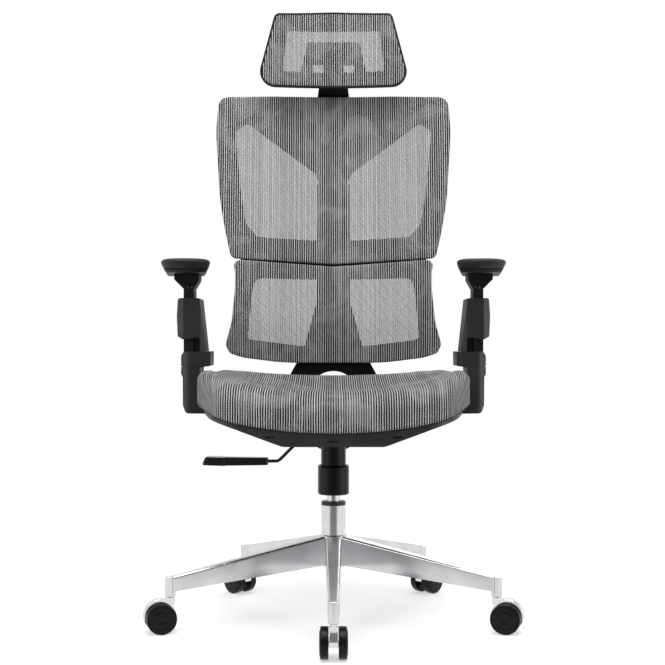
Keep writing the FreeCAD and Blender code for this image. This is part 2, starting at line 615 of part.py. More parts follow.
def from_outline(wire, y0, y1):
    """Solid of a front outline wire between two depths."""
    shape = Part.Face(wire).extrude(V(0, y1 - y0, 0))
    shape.translate(V(0, y0, 0))
    return shape


def back_frame():
    form = from_outline(back_outline(2.0), 120, 380)
    panel = upright_shell(BACK_LINE, 2.2, 6.0, BACK_AXIS_Y).common(form)
    rim = upright_shell(BACK_LINE, 2.0, 14.0, BACK_AXIS_Y).common(form).cut(
        from_outline(back_outline(14.0), 110, 390))
    shape = panel.fuse(rim)
    # raised borders round the windows and down the spine, on the rear
    windows = []
    for sign in (1, -1):
        window = [(sign * u, v, r) for u, v, r in BACK_WINDOW]
        wire = outline(window, "front", 0)
        border = from_outline(wire.makeOffset2D(7.0), 120, 380)
        hole = from_outline(wire, 110, 390)
        windows.append((border, hole))
    deep = upright_shell(BACK_LINE, 2.2, 13.0, BACK_AXIS_Y)
    for border, hole in windows:
        shape = shape.fuse(deep.common(border).common(form))
    shape = shape.cut([hole for border, hole in windows])
    slide = slide_box(-37, -30.4, -7, 21, 22, 190).fuse(
        [slide_box(30.4, 37, -7, 21, 22, 190), slide_box(-37, 37, 16.4, 21, 22, 190)])
    stem = slide_box(-29, 29, -32, 9, 262, 381).common(
        upright_shell(BACK_LINE, 5.0, 60.0, BACK_AXIS_Y))
    channel = slide_box(-22.5, 22.5, -3.8, 5.1, 255, 420)
    hollow = slide_box(-22.5, 22.5, -40, 0, 255, 368).common(
        upright_shell(BACK_LINE, 8.2, 60.0, BACK_AXIS_Y))
    # skirt that closes the view through the gap over the lumbar section
    skirt = upright_shell(BACK_LINE, 10.0, 3.5, BACK_AXIS_Y).common(from_outline(
        outline([(0, 732), (206, 745, 8), (210, 775), (-210, 775), (-206, 745, 8)], "front", 0),
        120, 380))
    return carved(joined(shape, skirt, slide, stem), channel, hollow)


def back_mesh():
    return upright_shell(BACK_LINE, 0.0, 2.0, BACK_AXIS_Y).common(from_outline(back_outline(0), 120, 380))


LUMBAR_LINE = [(216, 510), (214, 560), (209, 620), (212, 690), (220, 765)]
LUMBAR_OUTLINE = [(0, 739)] + mirrored([(223, 754.5, 14), (217, 725, 60), (217, 690, 80),
                                        (224, 616, 80), (238, 565, 14), (229, 546, 12),
                                        (200, 536, 90), (110, 524, 500)])
LUMBAR_WINDOW = [(36, 710, 6), (38, 657, 20), (64, 561, 8), (190, 577, 10), (178, 698, 30),
                 (168, 712, 12)]


def lumbar_frame():
    wire = outline(LUMBAR_OUTLINE, "front", 0)
    form = from_outline(wire.makeOffset2D(-2.0), 100, 320)
    panel = upright_shell(LUMBAR_LINE, 2.2, 5.0, LUMBAR_AXIS_Y, 25).common(form)
    rim = upright_shell(LUMBAR_LINE, 2.0, 11.0, LUMBAR_AXIS_Y, 25).common(form).cut(
        from_outline(wire.makeOffset2D(-12.0), 90, 330))
    shape = panel.fuse(rim)
    deep = upright_shell(LUMBAR_LINE, 2.2, 10.0, LUMBAR_AXIS_Y, 25)
    holes = []
    for sign in (1, -1):
        window = outline([(sign * u, v, r) for u, v, r in LUMBAR_WINDOW], "front", 0)
        shape = shape.fuse(deep.common(from_outline(window.makeOffset2D(6.0), 100, 320)))
        holes.append(from_outline(window, 90, 330))
    lug = prism([(212, 612), (212, 668), (268, 652, 8), (276, 640, 8), (268, 628, 8)], 31.4, 37, "side")
    lugs = [lug, lug.mirror(V(0, 0, 0), V(1, 0, 0))]
    pin = rod(5.0, V(-39, 264, 640), V(39, 264, 640))
    return joined(carved(shape, *holes), *lugs, pin)


def lumbar_mesh():
    wire = outline(LUMBAR_OUTLINE, "front", 0)
    return upright_shell(LUMBAR_LINE, 0.0, 2.0, LUMBAR_AXIS_Y, 25).common(from_outline(wire, 100, 320))


HEAD_LINE = [(246, 1130), (244, 1180), (243, 1240), (247, 1320)]
HEAD_OUTLINE = [(0, 1312, 400)] + mirrored([(130.5, 1306.5, 14), (173, 1142, 32)])
HINGE = (274.0, 1170.0)      # (Y, Z) of the headrest's pin


def headrest_frame():
    wire = outline(HEAD_OUTLINE, "front", 0)
    form = from_outline(wire, 150, 330)
    panel = upright_shell(HEAD_LINE, 2.2, 4.5, HEAD_AXIS_Y, 22).common(form)
    rim = upright_shell(HEAD_LINE, 0.6, 9.5, HEAD_AXIS_Y, 22).common(form).cut(
        from_outline(wire.makeOffset2D(-4.0), 140, 340))
    arch = outline(mirrored([(104, 1269, 8), (114, 1177, 6), (73, 1177, 4), (58, 1244, 6)]),
                   "front", 0)
    around = outline(mirrored([(108.2, 1273.5, 12), (119, 1172.5, 9), (69, 1172.5, 3),
                               (54, 1239.5, 3)]), "front", 0)
    border = upright_shell(HEAD_LINE, 3.2, 8.0, HEAD_AXIS_Y, 22).common(
        from_outline(around, 150, 330))
    ports = [prism([(s * 34 - 12, 1176, 3), (s * 34 + 12, 1176, 3), (s * 34 + 12, 1193, 3),
                    (s * 34 - 12, 1193, 3)], 140, 340, "front") for s in (-1, 1)]
    shape = carved(joined(panel, rim, border), from_outline(arch, 140, 340), *ports)
    y, z = HINGE
    lug = prism([(248.4, z - 14), (248.4, z + 14), (y - 2, z + 8.5, 6), (y + 8.5, z + 4, 6),
                 (y + 8.5, z - 4, 6), (y - 2, z - 8.5, 6)], 10, 18.5, "side")
    lugs = [lug, lug.mirror(V(0, 0, 0), V(1, 0, 0))]
    return joined(shape, *lugs).cut(rod(4.0, V(-60, y, z), V(60, y, z)))


def headrest_mesh():
    wire = outline(HEAD_OUTLINE, "front", 0)
    return upright_shell(HEAD_LINE, 0.0, 2.0, HEAD_AXIS_Y, 22).common(
        from_outline(wire.makeOffset2D(-4.3), 150, 330))


def headrest_pin():
    y, z = HINGE
    return rod(4.0, V(-29.5, y, z), V(29.5, y, z))


def headrest_post():
    """Tongue in the back's channel, and a swan neck up to the hinge."""
    tongue = Part.makeBox(44, 8.0, 116, V(-22, -3.3, 270))
    neck = prism([(0.8, 382.5), (14, 382.5, 4), (14, 404, 18), (-34, 440, 12), (-57, 438, 9),
                  (-60, 424, 9), (-46, 416, 6), (-14, 397.5, 4), (0.8, 394.5)], -39, 39, "side")
    face = prism([(-38, 380, 0), (-38, 388, 6), (-32.5, 412, 10), (-30, 445, 4), (30, 445, 4),
                  (32.5, 412, 10), (38, 388, 6), (38, 380, 0)], -70, 30, "front")
    gap = Part.makeBox(38.4, 30, 60, V(-19.2, -67, 405))
    post = on_slide(tongue.fuse(neck.common(face)).cut(gap))
    y, z = HINGE
    return post.cut(rod(4.0 + RUNNING, V(-60, y, z), V(60, y, z)))


def main():
    os.makedirs("parts", exist_ok=True)
    save("base_star", base_star())
    save("cylinder_tube", cylinder_tube())
    save("cylinder_guide", cylinder_guide())
    for i in range(5):
        hood, axle, left, right = caster_parts(i)
        save("caster_%d_hood" % (i + 1), hood)
        save("caster_%d_axle" % (i + 1), axle)
        save("caster_%d_wheel_left" % (i + 1), left)
        save("caster_%d_wheel_right" % (i + 1), right)
    save("piston_rod", piston_rod())
    save("thrust_bearing", thrust_bearing())
    save("gas_cylinder", gas_cylinder())
    save("cover_lower", turned([(28.5, 262), (30, 260), (32, 262), (32, 316), (30, 320), (25.6, 320),
                                (25.6, 317), (28.5, 315)]))
    save("cover_upper", turned([(LIFT_RADIUS, 358), (22.5, 355), (22.5, 300), (28.3, 300), (28.3, 303),
                                (25.5, 304), (25.5, 362), (LIFT_RADIUS, 362)]))
    save("mechanism_housing", mechanism_housing())
    rear, front = pivot_pins()
    save("recline_pin", rear)
    save("seat_pin", front)
    save("lever_bush", lever_bush())
    save("lever_rod", lever_rod())
    save("lever_grip", lever_grip())
    save("tension_knob", tension_knob())
    save("back_bracket", back_bracket())
    mesh, frame = seat_mesh_and_frame()
    save("seat_mesh", mesh)
    save("seat_frame", frame)
    save("seat_pan", seat_pan())
    save("seat_plate", seat_plate())
    arm = {"bracket": arm_bracket(), "housing": arm_housing(), "post": arm_post(),
           "release": arm_release(), "slider": arm_slider(), "pad": arm_pad()}
    for name, shape in arm.items():
        save("arm_left_" + name, shape)
        save("arm_right_" + name, shape.mirror(V(0, 0, 0), V(1, 0, 0)))
    save("back_frame", back_frame())
    save("back_mesh", back_mesh())
    save("lumbar_frame", lumbar_frame())
    save("lumbar_mesh", lumbar_mesh())
    save("headrest_frame", headrest_frame())
    save("headrest_mesh", headrest_mesh())
    save("headrest_pin", headrest_pin())
    save("headrest_post", headrest_post())


main()
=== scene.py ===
"""Looks of a high-back mesh gaming chair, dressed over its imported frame.

+Z is up and the chair faces -Y. Sizes in the classes are millimetres, as a maker
would write them on a drawing, and are turned to metres where a mesh is built.
"""

import json
import logging
import math
from dataclasses import dataclass
from enum import Enum
from typing import Mapping, Sequence, Union

import bpy
from mathutils import Matrix, Vector

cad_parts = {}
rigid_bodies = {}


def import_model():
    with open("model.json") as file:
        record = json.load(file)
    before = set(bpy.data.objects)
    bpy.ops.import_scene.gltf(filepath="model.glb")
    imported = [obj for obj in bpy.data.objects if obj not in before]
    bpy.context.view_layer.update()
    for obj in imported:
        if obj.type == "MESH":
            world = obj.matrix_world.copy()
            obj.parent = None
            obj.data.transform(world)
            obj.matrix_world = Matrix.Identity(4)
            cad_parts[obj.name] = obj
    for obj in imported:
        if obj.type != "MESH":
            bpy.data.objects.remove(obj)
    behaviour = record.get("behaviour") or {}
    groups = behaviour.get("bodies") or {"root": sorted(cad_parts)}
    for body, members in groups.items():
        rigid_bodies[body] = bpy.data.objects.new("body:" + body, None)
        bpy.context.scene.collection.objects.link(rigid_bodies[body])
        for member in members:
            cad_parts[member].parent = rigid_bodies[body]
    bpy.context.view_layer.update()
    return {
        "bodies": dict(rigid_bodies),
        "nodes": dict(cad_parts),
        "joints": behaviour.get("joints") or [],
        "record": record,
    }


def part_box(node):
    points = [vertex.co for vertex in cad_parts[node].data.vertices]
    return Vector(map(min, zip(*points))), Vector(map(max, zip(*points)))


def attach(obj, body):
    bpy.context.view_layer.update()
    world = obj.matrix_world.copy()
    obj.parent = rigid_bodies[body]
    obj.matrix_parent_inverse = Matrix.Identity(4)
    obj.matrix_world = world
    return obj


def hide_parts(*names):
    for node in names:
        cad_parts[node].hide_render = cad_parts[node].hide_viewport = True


MM = 0.001
STRAIGHT = 1e-4          # radians short of a straight run that still count as no corner
HARD_EDGE = 35.0         # degrees of turn from which an edge is broken by a round
BEAD_SIDES = 8           # points round a bead's section
RING_SPREAD = 0.9        # below 1, the rings of a sheet crowd towards its edge
CLOTH_DEPTH = 0.9        # thickness of the knitted mesh
LOG = logging.getLogger("chair")
Point = tuple[float, float]
Corner = tuple[float, float, float]
Face = tuple[int, ...]
Feed = Union[float, Sequence[float], bpy.types.Node, bpy.types.NodeSocket]


class Side(Enum):
    """The sitter's two sides, with the way each points along X."""

    LEFT = 1
    RIGHT = -1

    @property
    def word(self) -> str:
        """The side's name as the frame spells it."""
        return self.name.lower()


# ---------------------------------------------------------------------- geometry
def smooth(value: float, low: float, high: float) -> float:
    """Rises gently from 0 at low to 1 at high."""
    t = min(max((value - low) / (high - low), 0.0), 1.0)
    return t * t * (3 - 2 * t)


class SmoothLine:
    """Natural cubic spline through (position, value) points."""

    def __init__(self, points: Sequence[Point]) -> None:
        """Solves the spline's bends.

        Args:
            points: (position, value) pairs with rising positions.
        """
        self.x = [p[0] for p in points]
        self.y = [p[1] for p in points]
        n = len(points)
        gap = [self.x[i + 1] - self.x[i] for i in range(n - 1)]
        upper, rest = [0.0] * n, [0.0] * n
        for i in range(1, n - 1):
            after = (self.y[i + 1] - self.y[i]) / gap[i]
            before = (self.y[i] - self.y[i - 1]) / gap[i - 1]
            diagonal = 2 * (gap[i - 1] + gap[i]) - gap[i - 1] * upper[i - 1]
            upper[i] = gap[i] / diagonal
            rest[i] = (6 * (after - before) - gap[i - 1] * rest[i - 1]) / diagonal
        self.bend = [0.0] * n
        for i in range(n - 2, 0, -1):
            self.bend[i] = rest[i] - upper[i] * self.bend[i + 1]

    def __call__(self, at: float) -> float:
        """Reads the line.

        Args:
            at: position; past the line's ends its last piece is carried on.

        Returns:
            The value there.
        """
        i = 0
        while i < len(self.x) - 2 and at > self.x[i + 1]:
            i += 1
        h = self.x[i + 1] - self.x[i]
        a, b = (self.x[i + 1] - at) / h, (at - self.x[i]) / h
        curve = (a ** 3 - a) * self.bend[i] + (b ** 3 - b) * self.bend[i + 1]
        return a * self.y[i] + b * self.y[i + 1] + curve * h * h / 6


def mirrored(half: Sequence[Corner]) -> list[Corner]:
    """Corners of a symmetrical outline from its right half; one on the middle stays single."""
    return list(half) + [(-u, v, r) for u, v, r in reversed(half) if u > 0]


def rounded(corners: Sequence[Corner], step: float) -> list[Point]:
    """Closed outline through corners, each rounded by its own radius.

    Args:
        corners: (u, v, radius) in order round the outline.
        step: about how far apart the points are.

    Returns:
        Points round the outline, anticlockwise.
    """
    spots = [Vector((c[0], c[1])) for c in corners]
    turns: list[list[Vector]] = []
    for i, spot in enumerate(spots):
        radius = corners[i][2]
        before = (spots[i - 1] - spot).normalized()
        after = (spots[(i + 1) % len(spots)] - spot).normalized()
        half = math.acos(max(-1.0, min(1.0, before.dot(after)))) / 2
        if radius <= 0 or half > math.pi / 2 - STRAIGHT:
            turns.append([spot])
            continue
        centre = spot + (before + after).normalized() * (radius / math.sin(half))
        reach = radius / math.tan(half)
        first, last = spot + before * reach - centre, spot + after * reach - centre
        swing = first.angle_signed(last)
        count = max(2, math.ceil(abs(swing) * radius / step))
        turns.append([centre + Matrix.Rotation(-swing * k / count, 2) @ first
                      for k in range(count + 1)])
    points: list[Point] = []
    for i, arc in enumerate(turns):
        points += [(p.x, p.y) for p in arc]
        start, end = arc[-1], turns[(i + 1) % len(turns)][0]
        count = max(1, round((end - start).length / step))
        points += [tuple(start.lerp(end, k / count)) for k in range(1, count)]
    area = sum(p[0] * q[1] - q[0] * p[1] for p, q in zip(points, points[1:] + points[:1]))
    return points if area > 0 else points[::-1]


def outward(points: Sequence[Point]) -> list[Vector]:
    """Finds which way is out all round an outline.

    Args:
        points: the closed outline, anticlockwise.

    Returns:
        A unit normal for each point.
    """
    normals = []
    for i in range(len(points)):
        before, after = Vector(points[i - 1]), Vector(points[(i + 1) % len(points)])
        run = (after - before).normalized()
        normals.append(Vector((run.y, -run.x)))
    return normals


def drawn_in(points: Sequence[Point], margin: float) -> list[Point]:
    """Closed outline moved inward by a margin along its own normals."""
    return [(p[0] - n.x * margin, p[1] - n.y * margin) for p, n in zip(points, outward(points))]


def fanned(middle: Point, outline: Sequence[Point], rings: int) -> list[Point]:
    """Fills an outline with rings of points.

    Args:
        middle: where the rings start.
        outline: the closed outline, which itself is left out.
        rings: how many steps lie between the two.

    Returns:
        The points, ring by ring from the middle.
    """
    points = []
    for k in range(1, rings):
        for p in outline:
            spot = Vector(middle).lerp(Vector(p), (k / rings) ** RING_SPREAD)
            points.append((spot.x, spot.y))
    return points


def lofted(count: int, rings: int, capped: bool = True) -> list[Face]:
    """Faces between rings of equal count, laid one after another.

    Args:
        count: points in a ring.
        rings: number of rings.
        capped: close the first and the last ring with one face each.

    Returns:
        Faces as vertex numbers.
    """
    faces: list[Face] = []
    for r in range(rings - 1):
        for i in range(count):
            j = (i + 1) % count
            faces.append((r * count + i, r * count + j, (r + 1) * count + j, (r + 1) * count + i))
    if capped:
        faces.append(tuple(reversed(range(count))))
        faces.append(tuple(range((rings - 1) * count, rings * count)))
    return faces


def raised(faces: Sequence[Face], base: int) -> list[Face]:
    """The same faces for vertices that start at a later number."""
    return [tuple(base + v for v in face) for face in faces]


def built(name: str, spots: Sequence[Vector], faces: Sequence[Face],
          flats: Sequence[Point] = ()) -> bpy.types.Object:
    """Makes one smooth mesh piece.

    Args:
        name: the piece's name.
        spots: vertices in millimetres.
        faces: vertex numbers of each face.
        flats: place of each vertex on the flat cloth, in millimetres, if it is cloth.

    Returns:
        The new object, linked to the scene.
    """
    mesh = bpy.data.meshes.new(name)
    mesh.from_pydata([tuple(v * MM) for v in spots], [], [tuple(f) for f in faces])
    mesh.validate()
    mesh.polygons.foreach_set("use_smooth", [True] * len(mesh.polygons))
    if flats:
        layer = mesh.uv_layers.new(name="cloth")
        for loop in mesh.loops:
            flat = flats[loop.vertex_index]
            layer.data[loop.index].uv = (flat[0] * MM, flat[1] * MM)
    mesh.update()
    thing = bpy.data.objects.new(name, mesh)
    bpy.context.scene.collection.objects.link(thing)
    return thing


def softened(thing: bpy.types.Object, width: float) -> bpy.types.Object:
    """Breaks a piece's hard edges with a small round.

    Args:
        thing: the piece.
        width: how far the round reaches on each side of an edge.

    Returns:
        The same piece.
    """
    bevel = thing.modifiers.new("edges", "BEVEL")
    bevel.width = width * MM
    bevel.segments = 2
    bevel.limit_method = "ANGLE"
    bevel.angle_limit = math.radians(HARD_EDGE)
    return thing


def frame_of(axis: Vector) -> tuple[Vector, Vector, Vector]:
    """Finds two square directions for an axis.

    Args:
        axis: the axis, of any length.

    Returns:
        Three square unit directions, the last along the axis.
    """
    up = axis.normalized()
    side = up.orthogonal().normalized()
    return side, up.cross(side), up


def circle(side: Vector, other: Vector, radius: float, count: int) -> list[Vector]:
    """Points of a circle about the origin, from one square direction towards the other."""
    angles = [2 * math.pi * i / count for i in range(count)]
    return [(side * math.cos(a) + other * math.sin(a)) * radius for a in angles]


def turned(profile: Sequence[Point], centre: Vector, axis: Vector,
           count: int) -> tuple[list[Vector], list[Face]]:
    """Round piece turned from a (radius, height) profile.

    Args:
        profile: points from one end to the other, neither of them on the axis.
        centre: where height 0 lies.
        axis: direction of rising height.
        count: points round it.

    Returns:
        Vertices and faces.
    """
    side, other, up = frame_of(axis)
    spots = []
    for radius, height in profile:
        spots += [centre + up * height + p for p in circle(side, other, radius, count)]
    return spots, lofted(count, len(profile))


def beaded(name: str, line: Sequence[Vector], radius: float) -> bpy.types.Object:
    """Round bead along a closed line.

    Args:
        name: the piece's name.
        line: points of the closed line.
        radius: radius of the bead.

    Returns:
        The bead as one piece.
    """
    count = len(line)
    middle = sum(line, Vector()) / count
    spots = []
    for i, spot in enumerate(line):
        run = (line[(i + 1) % count] - line[i - 1]).normalized()
        side = run.cross(spot - middle).normalized()
        spots += [spot + p for p in circle(side, run.cross(side), radius, BEAD_SIDES)]
    faces = lofted(BEAD_SIDES, count, capped=False)
    last = (count - 1) * BEAD_SIDES
    for k in range(BEAD_SIDES):
        m = (k + 1) % BEAD_SIDES
        faces.append((last + k, last + m, m, k))
    return built(name, spots, faces)


# --------------------------------------------------------------------- materials
def linear(code: str) -> tuple[float, float, float, float]:
    """Turns an sRGB colour to the linear one that a node takes.

    Args:
        code: the colour in hex, such as "#2b2b2c".

    Returns:
        Red, green, blue and alpha.
    """
    parts = [int(code[i:i + 2], 16) / 255 for i in (1, 3, 5)]
    red, green, blue = (p / 12.92 if p <= 0.04045 else ((p + 0.055) / 1.055) ** 2.4 for p in parts)
    return red, green, blue, 1.0


def per(size: float) -> float:
    """Scale of a pattern whose cells are this many millimetres across."""
    return 1.0 / (size * MM)


def add(tree: bpy.types.NodeTree, kind: str, feeds: Mapping[Union[int, str], Feed] = {},
        **settings: object) -> bpy.types.Node:
    """Adds a node with its settings, and fills or links its inputs.

    Args:
        tree: the node tree.
        kind: the node's type name.
        feeds: for each input a value, an output, or a node that gives its first output.
        **settings: the node's own properties.

    Returns:
        The new node.
    """
    made = tree.nodes.new(kind)
    for name, value in settings.items():
        setattr(made, name, value)
    for key, value in feeds.items():
        if isinstance(value, bpy.types.Node):
            value = value.outputs[0]
        if isinstance(value, bpy.types.NodeSocket):
            tree.links.new(value, made.inputs[key])
        else:
            made.inputs[key].default_value = value
    return made


# node types that are used again and again
MATH, RANGE, MIX = "ShaderNodeMath", "ShaderNodeMapRange", "ShaderNodeMix"
NOISE, BUMP, PLACE = "ShaderNodeTexNoise", "ShaderNodeBump", "ShaderNodeTexCoord"


@dataclass(frozen=True)
class Finish:
    """A real material and how its surface was made.

    All but cloth have slow clouds over them, of wear, haze or dust, and a fine relief.
    """

    name: str
    colour: str = "#808080"
    second: str = ""             # its tone where it is worn, dusty or hazed, if it has one
    second_at: Point = (0.4, 0.7)    # levels of the clouds between which that tone comes in
    roughness: float = 0.5
    uneven: float = 0.0          # swing of the roughness from cloud to cloud
    cloud: float = 50.0          # mm across one cloud
    ragged: float = 4.0          # detail of the clouds' edges
    metal: float = 0.0
    gloss: float = 0.5           # level of the surface's mirror reflection, 0.5 for a smooth one
    sheen: float = 0.0
    depth: float = 0.1           # strength of the relief
    dent: float = 0.1            # mm from the relief's hollows to its heights

    def material(self) -> bpy.types.Material:
        """Builds the material the first time, and hands out the same one after that.

        Returns:
            The material.
        """
        known = bpy.data.materials.get(self.name)
        if known:
            return known
        made = bpy.data.materials.new(self.name)
        made.use_nodes = True
        tree = made.node_tree
        tree.nodes.clear()
        shader = add(tree, "ShaderNodeBsdfPrincipled", self.looks(tree))
        add(tree, "ShaderNodeOutputMaterial", {0: shader})
        return made

    def looks(self, tree: bpy.types.NodeTree) -> dict[str, Feed]:
        """Lays the clouds and the relief.

        Args:
            tree: the material's node tree.

        Returns:
            What each input of the shader takes.
        """
        place = add(tree, PLACE).outputs["Object"]
        clouds = add(tree, NOISE, {"Vector": place, "Scale": per(self.cloud),
                                   "Detail": self.ragged})
        feeds: dict[str, Feed] = {
            "Base Color": linear(self.colour), "Roughness": self.roughness,
            "Metallic": self.metal, "Specular IOR Level": self.gloss, "Sheen Weight": self.sheen}
        if self.second:
            share = add(tree, RANGE, {0: clouds, 1: self.second_at[0], 2: self.second_at[1]},
                        interpolation_type="SMOOTHSTEP")
            feeds["Base Color"] = add(tree, MIX, {0: share, 6: linear(self.colour),
                                                  7: linear(self.second)},
                                      data_type="RGBA").outputs[2]
        if self.uneven:
            least = self.roughness - self.uneven / 2
            feeds["Roughness"] = add(tree, MATH, {0: clouds, 1: self.uneven, 2: least},
                                     operation="MULTIPLY_ADD")
        relief = self.relief(tree, place)
        if relief:
            feeds["Normal"] = add(tree, BUMP, {"Strength": self.depth, "Height": relief,
                                               "Distance": self.dent * MM})
        return feeds

    def relief(self, tree: bpy.types.NodeTree,
               place: bpy.types.NodeSocket) -> Union[bpy.types.Node, None]:
        """Height of the surface's fine pattern; a finish that has none is smooth."""
        return None

    def wear(self, thing: bpy.types.Object) -> None:
        """Puts this finish on every slot of a piece.

        Args:
            thing: the piece.
        """
        if not thing.data.materials:
            thing.data.materials.append(self.material())
        for place in thing.material_slots:
            place.material = self.material()


@dataclass(frozen=True)
class MouldedNylon(Finish):
    """Glass-filled nylon from a spark-eroded mould.

    The eye gets a near-black plastic with a fine even grain that breaks up the lamps'
    reflections, a little greyer where hands and cleaning have rubbed it.
    """

    colour: str = "#0f0f10"
    second: str = "#17171a"
    second_at: Point = (0.42, 0.68)
    roughness: float = 0.52
    uneven: float = 0.14
    cloud: float = 71.43
    gloss: float = 0.28
    depth: float = 0.12
    grain: float = 0.5       # mm across one pit of the grain

    def relief(self, tree: bpy.types.NodeTree, place: bpy.types.NodeSocket) -> bpy.types.Node:
        """Height of the mould's grain, a pitted one."""
        return add(tree, NOISE, {"Vector": place, "Scale": per(self.grain), "Detail": 2.0,
                                 "Roughness": 0.6})


@dataclass(frozen=True)
class PolishedAluminium(Finish):
    """Die-cast aluminium, buffed on a wheel.

    The eye gets a bright mirror that is softened by the casting's slow waves and by
    hair-fine buffing lines, with hazy spots.
    """

    colour: str = "#e4e5e6"
    second: str = "#dbdcde"
    second_at: Point = (0.35, 0.7)
    roughness: float = 0.14
    uneven: float = 0.06
    cloud: float = 45.45
    ragged: float = 5.0
    metal: float = 1.0
    depth: float = 0.02
    line: float = 1.2        # mm between buffing lines, drawn coarser than the real 0.1
    drawn: Corner = (1.0, 1.0, 0.06)     # X, Y, Z: below 1, the lines are drawn out that way
    wave: float = 70.0       # mm between the casting's slow waves
    wave_depth: float = 0.16     # strength of the waves
    wave_dent: float = 3.0   # mm from the waves' hollows to their heights
    satin: float = 0.0       # how much rougher the upward faces are, where feet rub them
    satin_at: Point = (0.8, 0.93)    # how far up a face looks where that starts and is full

    def relief(self, tree: bpy.types.NodeTree, place: bpy.types.NodeSocket) -> bpy.types.Node:
        """Height of the buffing lines."""
        drawn = add(tree, "ShaderNodeMapping", {0: place, "Scale": self.drawn})
        return add(tree, NOISE, {"Vector": drawn, "Scale": per(self.line), "Detail": 3.0})

    def looks(self, tree: bpy.types.NodeTree) -> dict[str, Feed]:
        """Lays the slow waves under the buffing lines, and rubs the upward faces.

        Args:
            tree: the material's node tree.

        Returns:
            What each input of the shader takes.
        """
        feeds = super().looks(tree)
        ways = add(tree, PLACE).outputs
        lift = add(tree, "ShaderNodeSeparateXYZ", {0: ways["Normal"]}).outputs[2]
        upward = add(tree, RANGE, {0: lift, 1: self.satin_at[0], 2: self.satin_at[1]},
                     interpolation_type="SMOOTHSTEP")
        feeds["Roughness"] = add(tree, MATH, {0: upward, 1: self.satin, 2: feeds["Roughness"]},
                                 operation="MULTIPLY_ADD")
        waves = add(tree, NOISE, {"Vector": ways["Object"], "Scale": per(self.wave),
                                  "Detail": 1.0})
        slow = add(tree, BUMP, {"Strength": self.wave_depth, "Distance": self.wave_dent * MM,
                                "Height": waves})
        tree.links.new(slow.outputs[0], feeds["Normal"].inputs["Normal"])
        return feeds


@dataclass(frozen=True)
class ChromePlate(Finish):
    """Bright chromium plate over a smooth moulding.

    The eye gets a hard mirror, with only faint clouding where fingers have been.
    """

    colour: str = "#e4e5e7"
    roughness: float = 0.07
    uneven: float = 0.08
    cloud: float = 16.67
    metal: float = 1.0


@dataclass(frozen=True)
class WorkedMetal(Finish):
    """Steel or cast alloy straight from the lathe, tumbler or press.

    The eye gets a dull metal with fine turning rings and a cloudy sheen.
    """

    colour: str = "#9a9b9d"
    roughness: float = 0.32
    uneven: float = 0.2
    cloud: float = 28.57
    metal: float = 1.0
    depth: float = 0.08
    ring: float = 0.9        # mm between turning rings, drawn coarser than the real 0.15
    drawn: Corner = (0.05, 0.05, 1.0)    # X, Y, Z: below 1, the rings are drawn out that way

    def relief(self, tree: bpy.types.NodeTree, place: bpy.types.NodeSocket) -> bpy.types.Node:
        """Height of the turning rings."""
        drawn = add(tree, "ShaderNodeMapping", {0: place, "Scale": self.drawn})
        return add(tree, NOISE, {"Vector": drawn, "Scale": per(self.ring), "Detail": 2.0})


@dataclass(frozen=True)
class PowderCoat(Finish):
    """Steel with a baked black powder coat.

    The eye gets the coat's orange peel: soft dimples a couple of millimetres apart that
    bend the highlights, under an even satin gloss, with faint dust.
    """

    colour: str = "#101011"
    second: str = "#18181a"
    second_at: Point = (0.45, 0.75)
    roughness: float = 0.36
    cloud: float = 55.56
    ragged: float = 5.0
    gloss: float = 0.35
    depth: float = 0.2
    dent: float = 0.15
    peel: float = 2.2        # mm between dimples

    def relief(self, tree: bpy.types.NodeTree, place: bpy.types.NodeSocket) -> bpy.types.Node:
        """Height of the orange peel."""
        return add(tree, NOISE, {"Vector": place, "Scale": per(self.peel), "Detail": 1.0})


@dataclass(frozen=True)
class SkinnedFoam(Finish):
    """Polyurethane foam with its own moulded skin, as on arm pads.

    The eye gets a soft dark skin with a shallow leather-like grain and a faint bloom
    where forearms have polished it.
    """

    colour: str = "#161617"
    second: str = "#1e1e1f"
    uneven: float = -0.12    # below 0, since the bloom is smoother
    cloud: float = 90.91
    gloss: float = 0.3
    sheen: float = 0.05
    depth: float = 0.16
    dent: float = 0.15
    grain: float = 1.1       # mm across one cell of the grain

    def relief(self, tree: bpy.types.NodeTree, place: bpy.types.NodeSocket) -> bpy.types.Node:
        """Height of the grain, a cellular one."""
        return add(tree, "ShaderNodeTexVoronoi", {"Vector": place, "Scale": per(self.grain)},
                   feature="SMOOTH_F1")


